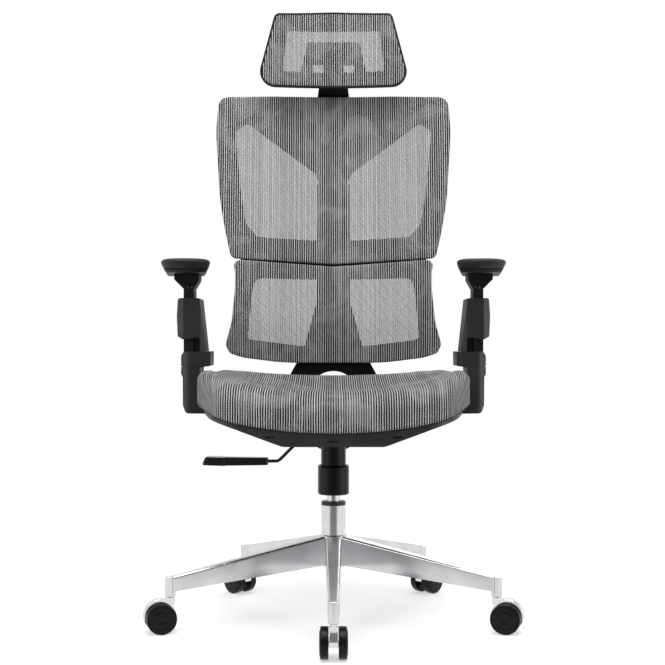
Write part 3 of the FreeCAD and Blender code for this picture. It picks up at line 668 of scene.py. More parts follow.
@dataclass(frozen=True)
class KnittedMesh(Finish):
    """Elastic mesh knitted from pale and black polyester yarns, stretched on a frame.

    The eye gets upright pale wales with dark open channels between them. Fine black
    threads cross each channel, and the holes between them show whatever lies behind:
    black frame as dark stripes, open air as a light grey screen.
    """

    colour: str = "#f0f0f1"  # pale yarn
    second: str = "#838384"  # the same yarn, in painted shade between its stitches and where its strands run darker
    black: str = "#121213"
    greyed: str = "#7c7c7d"  # black threads with a painted highlight where the cloth lies askew and they catch the light
    roughness: float = 0.75
    gloss: float = 0.3
    sheen: float = 0.06
    depth: float = 0.5
    dent: float = 0.6
    pitch: float = 5.0       # mm from wale to wale, drawn coarser than the real 2.5
    wale: float = 0.40       # share of the pitch that a wale covers
    swell: float = 0.04      # share of the pitch by which a wale swells at each stitch
    roundness: float = 9.0   # how fast a wale's cord falls from its crown
    stitch: float = 3.0      # mm from stitch to stitch along a wale
    relief_share: float = 0.2    # how much the stitches stand out, and are lit, over the cord
    offset: float = 0.381966     # stitches by which a wale starts higher than the one beside it
    cross: float = 2.4       # mm between crossing threads
    open_share: float = 0.43     # share of a channel's length that is hole
    soft_edge: float = 0.04  # softness of the edges of wales and threads
    wander: float = 0.8      # mm that a wale wanders to each side
    drift: float = 25.0      # mm along a wale from one wander to the next
    patch: float = 90.0      # mm across a patch that lies askew
    twist: float = 1.2       # how much such patches are twisted
    patch_at: Point = (0.5, 0.63)    # levels of the noise between which a patch sets in
    narrowed: float = 0.03   # how much the holes close in a patch
    faint: float = 0.36      # how far the stripes fade in a patch
    greying: float = 0.5     # how much a painted highlight greys the black threads in a patch
    fibre: float = 3.333     # mm along a fleck in the yarn
    flecked: float = 0.5     # how much the flecks lighten the yarn
    mixed: float = 0.4       # how much one wale's yarn is lighter than another's

    def looks(self, tree: bpy.types.NodeTree) -> dict[str, Feed]:
        """Draws the wales, the stitches, the crossing threads and the holes.

        Args:
            tree: the material's node tree.

        Returns:
            What each input of the shader takes.
        """
        cloth = add(tree, "ShaderNodeUVMap", uv_map="cloth").outputs[0]
        u, v, _ = add(tree, "ShaderNodeSeparateXYZ", {0: cloth}).outputs
        drift = add(tree, NOISE, {"Vector": cloth, "Scale": per(self.drift), "Detail": 2.0})
        patch = add(tree, NOISE, {"Vector": cloth, "Scale": per(self.patch), "Detail": 2.0,
                                  "Distortion": self.twist})
        fleck = add(tree, NOISE, {"Vector": cloth, "Scale": per(self.fibre), "Detail": 1.0})
        # each row names a result, how it is made, and from what: numbers, or earlier results
        steps = (
            ("swing", "MULTIPLY_ADD", "drift", 2 * self.wander * MM, -self.wander * MM),
            ("moved", "ADD", "u", "swing"),
            ("across", "DIVIDE", "moved", self.pitch * MM),
            ("number", "FLOOR", "across"),
            ("part", "FRACT", "across"),
            ("sided", "SUBTRACT", "part", 0.5),
            ("off", "ABSOLUTE", "sided"),
            ("askew", "SMOOTHSTEP", "patch", *self.patch_at),
            # each wale's stitches start at their own height, and lean to its middle like a braid
            ("higher", "MULTIPLY", "number", self.offset),
            ("start", "FRACT", "higher"),
            ("rise", "DIVIDE", "v", self.stitch * MM),
            ("climb", "ADD", "rise", "start"),
            ("turn", "MULTIPLY", "climb", 2 * math.pi),
            ("loop", "SINE", "turn"),
            ("lean", "MULTIPLY_ADD", "off", 2.0, "climb"),
            ("leant", "MULTIPLY", "lean", 2 * math.pi),
            ("braid", "SINE", "leant"),
            ("half", "MULTIPLY_ADD", "loop", self.swell, self.wale / 2),
            ("inside", "SUBTRACT", "half", "off"),
            ("wale", "SMOOTHSTEP", "inside", -self.soft_edge / 2, self.soft_edge),
            # threads cross each channel, with a hole between one and the next
            ("jump", "MULTIPLY", "start", 2.0),
            ("rows", "DIVIDE", "v", self.cross * MM),
            ("row", "ADD", "rows", "jump"),
            ("along", "FRACT", "row"),
            ("beside", "SUBTRACT", "along", 0.5),
            ("between", "ABSOLUTE", "beside"),
            ("hole", "MULTIPLY_ADD", "askew", -self.narrowed, self.open_share / 2),
            ("past", "SUBTRACT", "between", "hole"),
            ("thread", "SMOOTHSTEP", "past", -self.soft_edge, self.soft_edge),
            ("solid", "MAXIMUM", "wale", "thread"),
            # in a patch that lies askew the wales lean over their channels, the stripes fade, and
            # the black threads get a painted highlight
            ("fade", "MULTIPLY", "askew", self.faint),
            ("middling", "SUBTRACT", 0.5, "wale"),
            ("stripe", "MULTIPLY_ADD", "middling", "fade", "wale"),
            ("greyed", "MULTIPLY", "askew", self.greying),
            # each wale is a round cord with its stitches standing out
            ("steep", "MULTIPLY", "off", self.roundness),
            ("lower", "MULTIPLY", "off", "steep"),
            ("crown", "SUBTRACT", 1.0, "lower"),
            ("cord", "MULTIPLY", "crown", "wale"),
            ("height", "MULTIPLY_ADD", "braid", self.relief_share, "cord"),
            # yarns differ a little from wale to wale and along each one, and the stitches get
            # painted light and shade over that
            ("yarn", "1D", None, "number"),
            ("flecks", "MULTIPLY", "fleck", self.flecked),
            ("yarns", "MULTIPLY_ADD", "yarn", self.mixed, "flecks"),
            ("lit", "MULTIPLY_ADD", "braid", self.relief_share, "yarns"),
        )
        kinds = {"SMOOTHSTEP": (RANGE, "interpolation_type"),
                 "1D": ("ShaderNodeTexWhiteNoise", "noise_dimensions")}
        found: dict[str, Feed] = {"u": u, "v": v, "drift": drift, "patch": patch, "fleck": fleck}
        for name, work, *terms in steps:
            kind, setting = kinds.get(work, (MATH, "operation"))
            feeds = {i: found.get(t, t) for i, t in enumerate(terms) if t is not None}
            found[name] = add(tree, kind, feeds, **{setting: work})
        # the pale yarn, with painted light on its stitches and painted shade between them
        pale = add(tree, MIX, {0: found["lit"], 6: linear(self.second), 7: linear(self.colour)},
                   data_type="RGBA").outputs[2]
        # black threads, greyed by a painted highlight in patches that lie askew
        dark = add(tree, MIX, {0: found["greyed"], 6: linear(self.black),
                               7: linear(self.greyed)}, data_type="RGBA").outputs[2]
        return {
            "Base Color": add(tree, MIX, {0: found["stripe"], 6: dark, 7: pale},
                              data_type="RGBA").outputs[2],
            "Alpha": found["solid"],
            "Roughness": self.roughness,
            "Specular IOR Level": self.gloss,
            "Sheen Weight": self.sheen,
            "Normal": add(tree, BUMP, {"Strength": self.depth, "Distance": self.dent * MM,
                                       "Height": found["height"]}),
        }


MESH_CLOTH = KnittedMesh("knitted mesh")
FRAME_NYLON = MouldedNylon("moulded black nylon")
SATIN_NYLON = MouldedNylon("satin black nylon", "#0c0c0d", "#121213", roughness=0.3, grain=0.8,
                           depth=0.05, gloss=0.22)
GREY_NYLON = MouldedNylon("moulded dark grey nylon", "#272728", "#2f2f30", roughness=0.36,
                          depth=0.1, gloss=0.4)
COVER_NYLON = MouldedNylon("moulded cover nylon", "#1b1b1c", "#222223", roughness=0.46,
                           depth=0.08, gloss=0.5)
GRIP_NYLON = MouldedNylon("glossy grip nylon", "#0c0c0d", "#141415", roughness=0.16, grain=0.9,
                          depth=0.04, gloss=0.5)
TYRE = MouldedNylon("polyurethane tyre", "#09090a", "#0d0d0e", roughness=0.3, grain=1.5,
                    depth=0.04, gloss=0.2)
BASE_METAL = PolishedAluminium("polished aluminium", satin=0.32)
TUBE_METAL = PolishedAluminium("polished tube", "#e6e7e8", roughness=0.1, wave=90.0)
CHROME = ChromePlate("chrome plate")
TURNED_STEEL = WorkedMetal("turned steel")
# bare cast alloy, darkened to painted shade where the housing sits under the pan
CAST_ALLOY = WorkedMetal("black enamelled alloy", "#2a2a2c", roughness=0.45, ring=3.0)
SCREW_STEEL = WorkedMetal("black oxide screw", "#1b1b1d", roughness=0.35)
BLACK_STEEL = PowderCoat("black powder coat")
PAD_SKIN = SkinnedFoam("skinned foam")


# ------------------------------------------------------------------------ studio
@dataclass(frozen=True)
class Softbox:
    """One lamp: a lit rectangle that faces the middle of the chair."""

    name: str
    spot: Corner         # metres
    wide: float          # metres
    tall: float          # metres
    watts: float


@dataclass
class Studio:
    """Plain soft light, a pale floor and the camera."""

    eye: Corner = (-2.0, -2660.0, 592.0)
    lens: float = 70.0
    sensor: float = 36.0
    sight: float = 50.0          # how far the camera sees, in metres
    softboxes: tuple[Softbox, ...] = (
        Softbox("key", (-1.3, -2.4, 2.3), 1.6, 1.6, 17.0),
        Softbox("left strip", (-2.35, -0.8, 0.9), 0.7, 1.8, 5.0),
        Softbox("right strip", (2.35, -0.8, 0.9), 0.7, 1.8, 11.0),
        Softbox("top", (0.0, -0.8, 3.0), 2.4, 2.4, 66.0),
        Softbox("back", (0.6, 2.4, 2.0), 1.6, 1.4, 20.0))
    aim: Corner = (0.0, 0.0, 0.6)        # metres, where the lamps point
    fill: float = 0.31           # strength of the light from all round
    mirrored_room: float = 0.9   # strength of the room in the pieces' reflections
    white: tuple[float, ...] = (1.0, 1.0, 1.0, 1.0)
    cool: tuple[float, ...] = (0.97, 0.98, 1.0, 1.0)     # tint of the light from all round
    unlit: str = "#868687"       # the unlit side of the room
    dark_way: Corner = (0.0, -0.94, 0.34)    # where that side is
    dark_edge: Point = (0.62, 0.86)      # cosines between which the room falls dark
    floor_half: float = 6000.0
    floor_drop: float = 0.5      # the floor lies this far under the wheels
    floor_paint: tuple[float, ...] = (0.82, 0.82, 0.82, 1.0)
    floor_sheen: str = "#f8f8f8"     # the floor in the pieces' reflections
    floor_lift: float = 0.5      # glow that brings the floor near to white
    floor_dark_edge: Point = (0.72, 0.96)    # as dark_edge, for the floor ahead of the chair
    floor_dark_far: Point = (0.7, 1.15)  # metres from the column where it falls dark there
    shade: Point = (0.75, 1.6)   # metres from the column between which the floor fades to white

    def build(self) -> None:
        """Sets the view, the camera, the world, the lamps and the floor."""
        scene = bpy.context.scene
        scene.view_settings.view_transform = "Standard"
        self.camera(scene)
        self.world(scene)
        self.lamps(scene)
        self.floor()

    def camera(self, scene: bpy.types.Scene) -> None:
        """Places the camera level with the seat and straight in front.

        Args:
            scene: the scene.
        """
        data = bpy.data.cameras.new("camera")
        data.lens = self.lens
        data.sensor_width = self.sensor
        data.clip_end = self.sight
        eye = bpy.data.objects.new("camera", data)
        eye.location = Vector(self.eye) * MM
        eye.rotation_euler = (math.pi / 2, 0.0, 0.0)
        scene.collection.objects.link(eye)
        scene.camera = eye

    def world(self, scene: bpy.types.Scene) -> None:
        """Lights from all round at a plain level, before a white backdrop.

        Args:
            scene: the scene.
        """
        world = bpy.data.worlds.new("studio")
        world.use_nodes = True
        tree = world.node_tree
        tree.nodes.clear()
        way = add(tree, PLACE).outputs["Generated"]
        facing = add(tree, "ShaderNodeVectorMath", {0: way, 1: self.dark_way},
                     operation="DOT_PRODUCT").outputs["Value"]
        dark = add(tree, RANGE, {0: facing, 1: self.dark_edge[0], 2: self.dark_edge[1]},
                   interpolation_type="SMOOTHSTEP")
        room = add(tree, MIX, {0: dark, 6: self.white, 7: linear(self.unlit)},
                   data_type="RGBA").outputs[2]
        kind = "ShaderNodeBackground"
        light = add(tree, kind, {"Color": self.cool, "Strength": self.fill})
        around = add(tree, kind, {"Color": room, "Strength": self.mirrored_room})
        white = add(tree, kind, {"Color": self.white, "Strength": 1.0})
        both = self.by_ray(tree, light, around, white)
        add(tree, "ShaderNodeOutputWorld", {0: both})
        scene.world = world

    @staticmethod
    def by_ray(tree: bpy.types.NodeTree, lit: bpy.types.Node, mirrored: bpy.types.Node,
               seen: bpy.types.Node) -> bpy.types.Node:
        """Shades a backdrop by the kind of ray that meets it.

        Args:
            tree: the node tree.
            lit: what lights the chair.
            mirrored: what its pieces reflect.
            seen: what the camera sees, straight or through glass.

        Returns:
            The shader of all three.
        """
        path = add(tree, "ShaderNodeLightPath").outputs
        eye = add(tree, MATH, {0: path["Is Camera Ray"], 1: path["Is Transmission Ray"]},
                  operation="MAXIMUM")
        other = add(tree, "ShaderNodeMixShader", {0: path["Is Glossy Ray"], 1: lit, 2: mirrored})
        return add(tree, "ShaderNodeMixShader", {0: eye, 1: other, 2: seen})

    def lamps(self, scene: bpy.types.Scene) -> None:
        """Hangs a large overhead softbox, a key from the front, two side strips and a rear one.

        Args:
            scene: the scene.
        """
        for box in self.softboxes:
            data = bpy.data.lights.new(box.name, "AREA")
            data.shape = "RECTANGLE"
            data.size, data.size_y = box.wide, box.tall
            data.energy = box.watts
            lamp = bpy.data.objects.new(box.name, data)
            lamp.location = box.spot
            way = Vector(self.aim) - lamp.location
            lamp.rotation_euler = way.to_track_quat("-Z", "Y").to_euler()
            scene.collection.objects.link(lamp)

    def floor(self) -> None:
        """Lays a pale floor that keeps the chair's shadow and fades into the backdrop."""
        h = self.floor_half
        corners = [Vector((x * h, y * h, -self.floor_drop))
                   for x, y in ((-1, -1), (1, -1), (1, 1), (-1, 1))]
        plane = built("floor", corners, [(0, 1, 2, 3)])
        made = bpy.data.materials.new("pale floor")
        made.use_nodes = True
        tree = made.node_tree
        tree.nodes.clear()
        place = add(tree, PLACE).outputs["Object"]
        away = add(tree, "ShaderNodeVectorMath", {0: place}, operation="LENGTH").outputs["Value"]
        far = add(tree, RANGE, {0: away, 1: self.shade[0], 2: self.shade[1]},
                  interpolation_type="SMOOTHSTEP")
        # in the pieces' reflections the floor ends in front of the chair, where the room is unlit
        depth = add(tree, "ShaderNodeSeparateXYZ", {0: place}).outputs[1]
        ahead = add(tree, MATH, {0: depth, 1: -1.0}, operation="MULTIPLY")
        ahead = add(tree, MATH, {0: ahead, 1: away}, operation="DIVIDE")
        ahead = add(tree, RANGE, {0: ahead, 1: self.floor_dark_edge[0],
                                  2: self.floor_dark_edge[1]}, interpolation_type="SMOOTHSTEP")
        beyond = add(tree, RANGE, {0: away, 1: self.floor_dark_far[0],
                                   2: self.floor_dark_far[1]}, interpolation_type="SMOOTHSTEP")
        unlit = add(tree, MATH, {0: ahead, 1: beyond}, operation="MULTIPLY")
        tone = add(tree, MIX, {0: unlit, 6: linear(self.floor_sheen), 7: linear(self.unlit)},
                   data_type="RGBA").outputs[2]
        kind = "ShaderNodeEmission"
        mirror = add(tree, kind, {"Color": tone})
        lift = add(tree, kind, {"Color": self.white, "Strength": self.floor_lift})
        white = add(tree, kind, {"Color": self.white, "Strength": 1.0})
        paint = add(tree, "ShaderNodeBsdfDiffuse", {"Color": self.floor_paint})
        near = add(tree, "ShaderNodeAddShader", {0: paint, 1: lift})
        shown = add(tree, "ShaderNodeMixShader", {0: far, 1: near, 2: white})
        both = self.by_ray(tree, paint, mirror, shown)
        add(tree, "ShaderNodeOutputMaterial", {0: both})
        plane.data.materials.append(made)


# --------------------------------------------------------------------- sub-assemblies
# a button-head screw from its skirt to its socket; radii and the last heights are shares
# of the head's radius, and the skirt's heights are millimetres
SCREW_SKIRT = ((0.98, -0.6), (1.0, 0.2))
SCREW_DOME = ((0.93, 0.28), (0.74, 0.46), (0.5, 0.54))
SCREW_SOCKET = ((0.46, 0.5), (0.44, 0.08))
SCREW_POINTS = 24
SCREW_ROUND = 0.25


@dataclass
class Assembly:
    """A group of the chair's pieces that is built and dressed together."""

    frame: Mapping[str, object]

    def dress(self, finish: Finish, *names: str) -> None:
        """Puts a finish on the frame's own pieces.

        Args:
            finish: the material.
            *names: names of the pieces.
        """
        for name in names:
            finish.wear(self.frame["nodes"][name])
            LOG.info("%s is dressed in %s", name, finish.name)

    def mount(self, thing: bpy.types.Object, body: str, finish: Finish, slot: str) -> None:
        """Puts a finished piece on its body.

        Args:
            thing: the piece.
            body: the body of the frame that carries it.
            finish: its material.
            slot: the record's slot of that material; not used.
        """
        finish.wear(thing)
        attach(thing, body)
        LOG.info("%s rides on %s", thing.name, body)

    def stretched(self, name: str, body: str, spots: Sequence[Vector], flats: Sequence[Point],
                  count: int) -> tuple[bpy.types.Object, float]:
        """Makes a sheet of mesh in its stretched shape, in place of the frame's plain one.

        Args:
            name: name of the plain one.
            body: the body that carries it.
            spots: one middle point, then rings of points out to the edge.
            flats: their places on the flat cloth.
            count: points in a ring.

        Returns:
            The sheet, and the area of its surface in square metres.
        """
        rings = (len(spots) - 1) // count
        faces = [tuple(reversed(f)) for f in raised(lofted(count, rings, capped=False), 1)]
        faces += [(0, 1 + i, 1 + (i + 1) % count) for i in range(count)]
        sheet = built(name + "_cloth", spots, faces, flats)
        solid = sheet.modifiers.new("thickness", "SOLIDIFY")
        solid.thickness = CLOTH_DEPTH * MM
        solid.offset = 0.0
        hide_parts(name)
        self.mount(sheet, body, MESH_CLOTH, "mesh")
        return sheet, sum(p.area for p in sheet.data.polygons)

    def screws(self, name: str, body: str, places: Sequence[tuple[Vector, Vector]],
               radius: float) -> None:
        """Sets button-head screws with hexagon sockets.

        Args:
            name: name of the group, which is one piece.
            body: the body that carries them.
            places: (seat of the head, direction that it faces) of each.
            radius: radius of a head.
        """
        profile = [(r * radius, h) for r, h in SCREW_SKIRT]
        profile += [(r * radius, h * radius) for r, h in SCREW_DOME + SCREW_SOCKET]
        sixth = math.pi / 3
        spots: list[Vector] = []
        faces: list[Face] = []
        for seat, facing in places:
            side, other, up = frame_of(facing)
            faces += raised(lofted(SCREW_POINTS, len(profile)), len(spots))
            for ring, (reach, height) in enumerate(profile):
                socket = ring >= len(profile) - len(SCREW_SOCKET)
                for i, p in enumerate(circle(side, other, reach, SCREW_POINTS)):
                    angle = 2 * math.pi * i / SCREW_POINTS
                    # the socket has six flats
                    flat = math.cos(sixth / 2) / math.cos(angle % sixth - sixth / 2)
                    spots.append(seat + up * height + p * (flat if socket else 1.0))
        heads = softened(built(name, spots, faces), SCREW_ROUND)
        self.mount(heads, body, SCREW_STEEL, "black_steel")


@dataclass
class Base(Assembly):
    """Five-legged base, its casters and the gas column."""

    casters: int = 5
    cap_points: int = 40
    cap_round: float = 0.2
    # (radius, height over the wheel's face) of a stepped hub cap from its hidden edge inward
    cap_profile: tuple[Point, ...] = (
        (22.5, -1.2), (22.5, 0.27), (21.7, 0.63), (19.3, 0.72), (18.5, 0.315), (17.5, 0.315),
        (16.7, 0.765), (8.5, 0.9), (7.6, 0.54), (3.0, 0.495))

    def build(self) -> None:
        """Dresses the base and caps the wheels."""
        self.dress(BASE_METAL, "base_star")
        self.dress(TUBE_METAL, "cylinder_tube", "gas_cylinder")
        self.dress(GREY_NYLON, "cylinder_guide")
        self.dress(TURNED_STEEL, "piston_rod", "thrust_bearing")
        self.dress(SATIN_NYLON, "cover_lower", "cover_upper")
        for k in range(1, self.casters + 1):
            self.dress(CHROME, f"caster_{k}_hood")
            self.dress(TURNED_STEEL, f"caster_{k}_axle")
            self.dress(TYRE, f"caster_{k}_wheel_left", f"caster_{k}_wheel_right")
        for joint in self.frame["joints"]:
            if "_roll_" in joint["name"]:
                self.cap(joint)

    def cap(self, joint: Mapping[str, object]) -> None:
        """Sets a stepped hub cap on the outer face of one wheel.

        Args:
            joint: the wheel's rolling joint, which gives its axis and centre.
        """
        body = str(joint["child"])
        low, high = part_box(body)
        axis = Vector(joint["axis"]).normalized()
        centre = Vector(joint["pos_m"])
        if ((low + high) / 2 - centre).dot(axis) < 0:
            axis = -axis
        spots = self.frame["nodes"][body].data.vertices
        reach = max((v.co - centre).dot(axis) for v in spots) / MM
        disc = built(body + "_cap", *turned(self.cap_profile, centre / MM + axis * reach, axis,
                                            self.cap_points))
        self.mount(softened(disc, self.cap_round), body, SATIN_NYLON, "satin_black")


@dataclass
class Mechanism(Assembly):
    """Tilt mechanism with its lever, tension knob and the bracket of the back."""

    rib_count: int = 7
    rib_step: float = 5.0
    rib_start: float = 13.0      # from the grip's outer end to the first rib
    rib_reach: float = 10.5      # half of a rib's length
    rib_sunk: float = 0.9        # the first rib's foot lies this far under the grip's top
    rib_fall: float = 0.1        # each rib lies this much lower than the one before
    rib_section: tuple[Point, ...] = ((-0.8, 1.1), (0.5, 0.7))   # (height, half width)
    rib_round: float = 0.3

    def build(self) -> None:
        """Dresses the mechanism, and ribs the lever's grip."""
        # the housing's alloy is darkened to painted shade under the pan
        self.dress(CAST_ALLOY, "mechanism_housing")
        self.dress(TURNED_STEEL, "recline_pin", "seat_pin")
        self.dress(FRAME_NYLON, "lever_bush", "tension_knob")
        self.dress(BLACK_STEEL, "lever_rod", "seat_plate")
        self.dress(GRIP_NYLON, "lever_grip")
        self.dress(SATIN_NYLON, "back_bracket")
        self.grip_ribs()

    def grip_ribs(self) -> None:
        """Raises low ribs across the top of the grip's paddle."""
        low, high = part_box("lever_grip")
        middle = (low.y + high.y) / 2 / MM
        spots: list[Vector] = []
        faces: list[Face] = []
        for i in range(self.rib_count):
            x = low.x / MM + self.rib_start + self.rib_step * i
            top = high.z / MM - self.rib_sunk - self.rib_fall * i
            faces += raised(lofted(4, 2), len(spots))
            for rise, half in self.rib_section:
                spots += [Vector((x + a * half, middle + b * self.rib_reach, top + rise))
                          for a, b in ((-1, -1), (1, -1), (1, 1), (-1, 1))]
        ribs = softened(built("lever_grip_ribs", spots, faces), self.rib_round)
        self.mount(ribs, "lever", GRIP_NYLON, "satin_black")


@dataclass
class Seat(Assembly):
    """Seat: mesh over a padded-edge frame, on a moulded pan."""

    plan: tuple[Corner, ...] = ((214, -271, 80), (277, -118, 200), (263, -38, 300),
                                (259, 90, 600), (256, 215, 78))
    # (Y, height in the middle, radius of the dish across) from the front to the rear
    lines: tuple[Corner, ...] = ((-300, 449, 880), (-262, 465, 865), (-205, 477, 853),
                                 (-100, 477, 860), (0, 477, 1000), (100, 486, 1450),
                                 (180, 499, 2200), (240, 512, 2300))
    half_width: float = 330.0     # the dish's depth is reckoned at this distance out
    pan_dish: float = 1330.0      # height about which the pan's edge swings
    pan_front: Point = (-275.0, 404.0)   # (Y, height) of the pan's edge at its front
    pan_rise: Point = (490.0, 34.0)      # length of the pan's edge, and its rise over that
    centre: Point = (0.0, -30.0)
    step: float = 7.0
    rings: int = 26
    roll: float = 33.0
    roll_steps: int = 9
    roll_probe: float = 6.0       # the roll's start follows the fall over this much each way
    drop_steps: int = 5
    drop_end: float = 0.8         # the mesh ends this far over the pan
    sheet_depth: float = 1.1      # the mesh lies this far under the frame's outer face
    flat_size: Point = (640.0, 620.0)    # cut of the mesh before it is stretched
    across_scale: float = 1.07    # wales lie this much closer here than on the back
    padding: float = 7.0          # soft padding under the mesh along the sides
    padded_out: Point = (150.0, 245.0)   # distances out between which it swells
    padded_back: Point = (-190.0, -60.0)     # and the same from the front backward
    padded_rear: Point = (60.0, 190.0)   # between these it thins again
    thinned: float = 0.6          # share of the padding that is lost there
    tight: float = 13.0           # the roll's radius is this much less along the sides
    side_turn: Point = (0.7, 0.98)   # how far out the edge faces where the front turns to side
    piping_radius: float = 1.7
    piping_inset: float = 1.9
    piping_drop: float = 0.2
    screw_radius: float = 6.0
    screw_y: Point = (-6.0, 16.0)
    # (distance out, height, sideways and downward part of the direction it faces)
    screw_rows: tuple[tuple[float, ...], ...] = ((150.0, 394.0, 0.34, -0.94),
                                                 (205.0, 413.2, 0.29, -0.96))

    def __post_init__(self) -> None:
        """Solves the seat's crest and its dish from front to rear."""
        self.crest = SmoothLine([(y, z) for y, z, _ in self.lines])
        self.bend = SmoothLine([(y, 1 / radius) for y, _, radius in self.lines])

    def top(self, x: float, y: float) -> float:
        """Reads the seat's upper face.

        Args:
            x: distance from the middle.
            y: place from front to rear.

        Returns:
            The height of the mesh there.
        """
        rise = self.half_width ** 2 * self.bend(y) / 2
        radius = (self.half_width ** 2 + rise ** 2) / (2 * rise)
        swell = self.padding * smooth(abs(x), *self.padded_out) * smooth(y, *self.padded_back)
        swell *= 1 - self.thinned * smooth(y, *self.padded_rear)
        return self.crest(y) - self.sheet_depth + swell + radius - math.sqrt(radius ** 2 - x * x)

    def low(self, x: float, y: float) -> float:
        """Reads the pan's edge, where the mesh ends.

        Args:
            x: distance from the middle.
            y: place from front to rear.

        Returns:
            The height there, on a line that swings about the seat's long axis.
        """
        length, rise = self.pan_rise
        level = self.pan_front[1] + (y - self.pan_front[0]) * rise / length
        reach = self.pan_dish - level
        return self.pan_dish - math.sqrt(reach * reach - x * x)

    def build(self) -> None:
        """Stretches the mesh, edges it and dresses the pan."""
        self.dress(FRAME_NYLON, "seat_frame")
        self.dress(GREY_NYLON, "seat_pan")
        self.dress(BLACK_STEEL, "arm_left_bracket", "arm_right_bracket")
        self.mesh()
        self.piping()
        self.pan_screws()

    def section(self, spot: Point, normal: Vector) -> tuple[list[Vector], list[Point]]:
        """One line of the mesh from where the roll starts down to its lower edge.

        Args:
            spot: point of the seat's plan outline.
            normal: the outline's outward normal there.

        Returns:
            Points in space, and the same points on the flat cloth.
        """
        sideways = smooth(abs(normal.x), *self.side_turn)
        radius = self.roll - self.sheet_depth - self.tight * sideways
        edge = Vector(spot) - normal * self.sheet_depth
        inner = edge - normal * (radius + self.roll_probe)
        outer = edge - normal * (radius - self.roll_probe)
        fall = math.atan2(self.top(*inner) - self.top(*outer), 2 * self.roll_probe)
        start = edge - normal * (radius * (1 - math.sin(fall)))
        level = self.top(*start) - radius * math.cos(fall)
        spots, flats, run = [], [], 0.0
        for k in range(self.roll_steps + 1):
            a = fall + (math.pi / 2 - fall) * k / self.roll_steps
            plan = edge - normal * (radius * (1 - math.sin(a)))
            spots.append(Vector((plan.x, plan.y, level + radius * math.cos(a))))
        drop = self.low(*edge) + self.drop_end - level
        for k in range(1, self.drop_steps + 1):
            spots.append(Vector((edge.x, edge.y, level + drop * k / self.drop_steps)))
        for i, p in enumerate(spots):
            run += (p - spots[i - 1]).length if i else 0.0
            # wales hang straight down the front, and only along the sides do they lie level
            shift = (p.x - start.x) * (1 - sideways) + normal.x * run * sideways
            fall_off = math.copysign(math.sqrt(max(run * run - shift * shift, 0.0)), normal.y)
            flats.append((start.x + shift, start.y + fall_off))
        return spots, flats

    def mesh(self) -> None:
        """Builds the mesh as one dished sheet with a rolled, straight-sided edge."""
        outline = rounded(mirrored(self.plan), self.step)
        lines = [self.section(p, n) for p, n in zip(outline, outward(outline))]
        flats = [self.centre] + fanned(self.centre, [line[0][:2] for line, _ in lines], self.rings)
        spots = [Vector((*p, self.top(*p))) for p in flats]
        for k in range(len(lines[0][0])):
            spots += [line[k] for line, _ in lines]
            flats += [flat[k] for _, flat in lines]
        flats = [(u * self.across_scale, v) for u, v in flats]
        sheet, area = self.stretched("seat_mesh", "seat", spots, flats, len(outline))

    def piping(self) -> None:
        """Lays the black edge bead where the mesh meets the pan."""
        outline = drawn_in(rounded(mirrored(self.plan), self.step), self.piping_inset)
        line = [Vector((x, y, self.low(x, y) - self.piping_drop)) for x, y in outline]
        bead = beaded("seat_piping", line, self.piping_radius)
        self.mount(bead, "seat", FRAME_NYLON, "black_nylon")

    def pan_screws(self) -> None:
        """Screws the arm brackets and the pan from below."""
        places = [(Vector((side.value * out, y, height)), Vector((side.value * tilt, 0, down)))
                  for side in Side for y in self.screw_y
                  for out, height, tilt, down in self.screw_rows]
        self.screws("arm_bracket_screws", "seat", places, self.screw_radius)


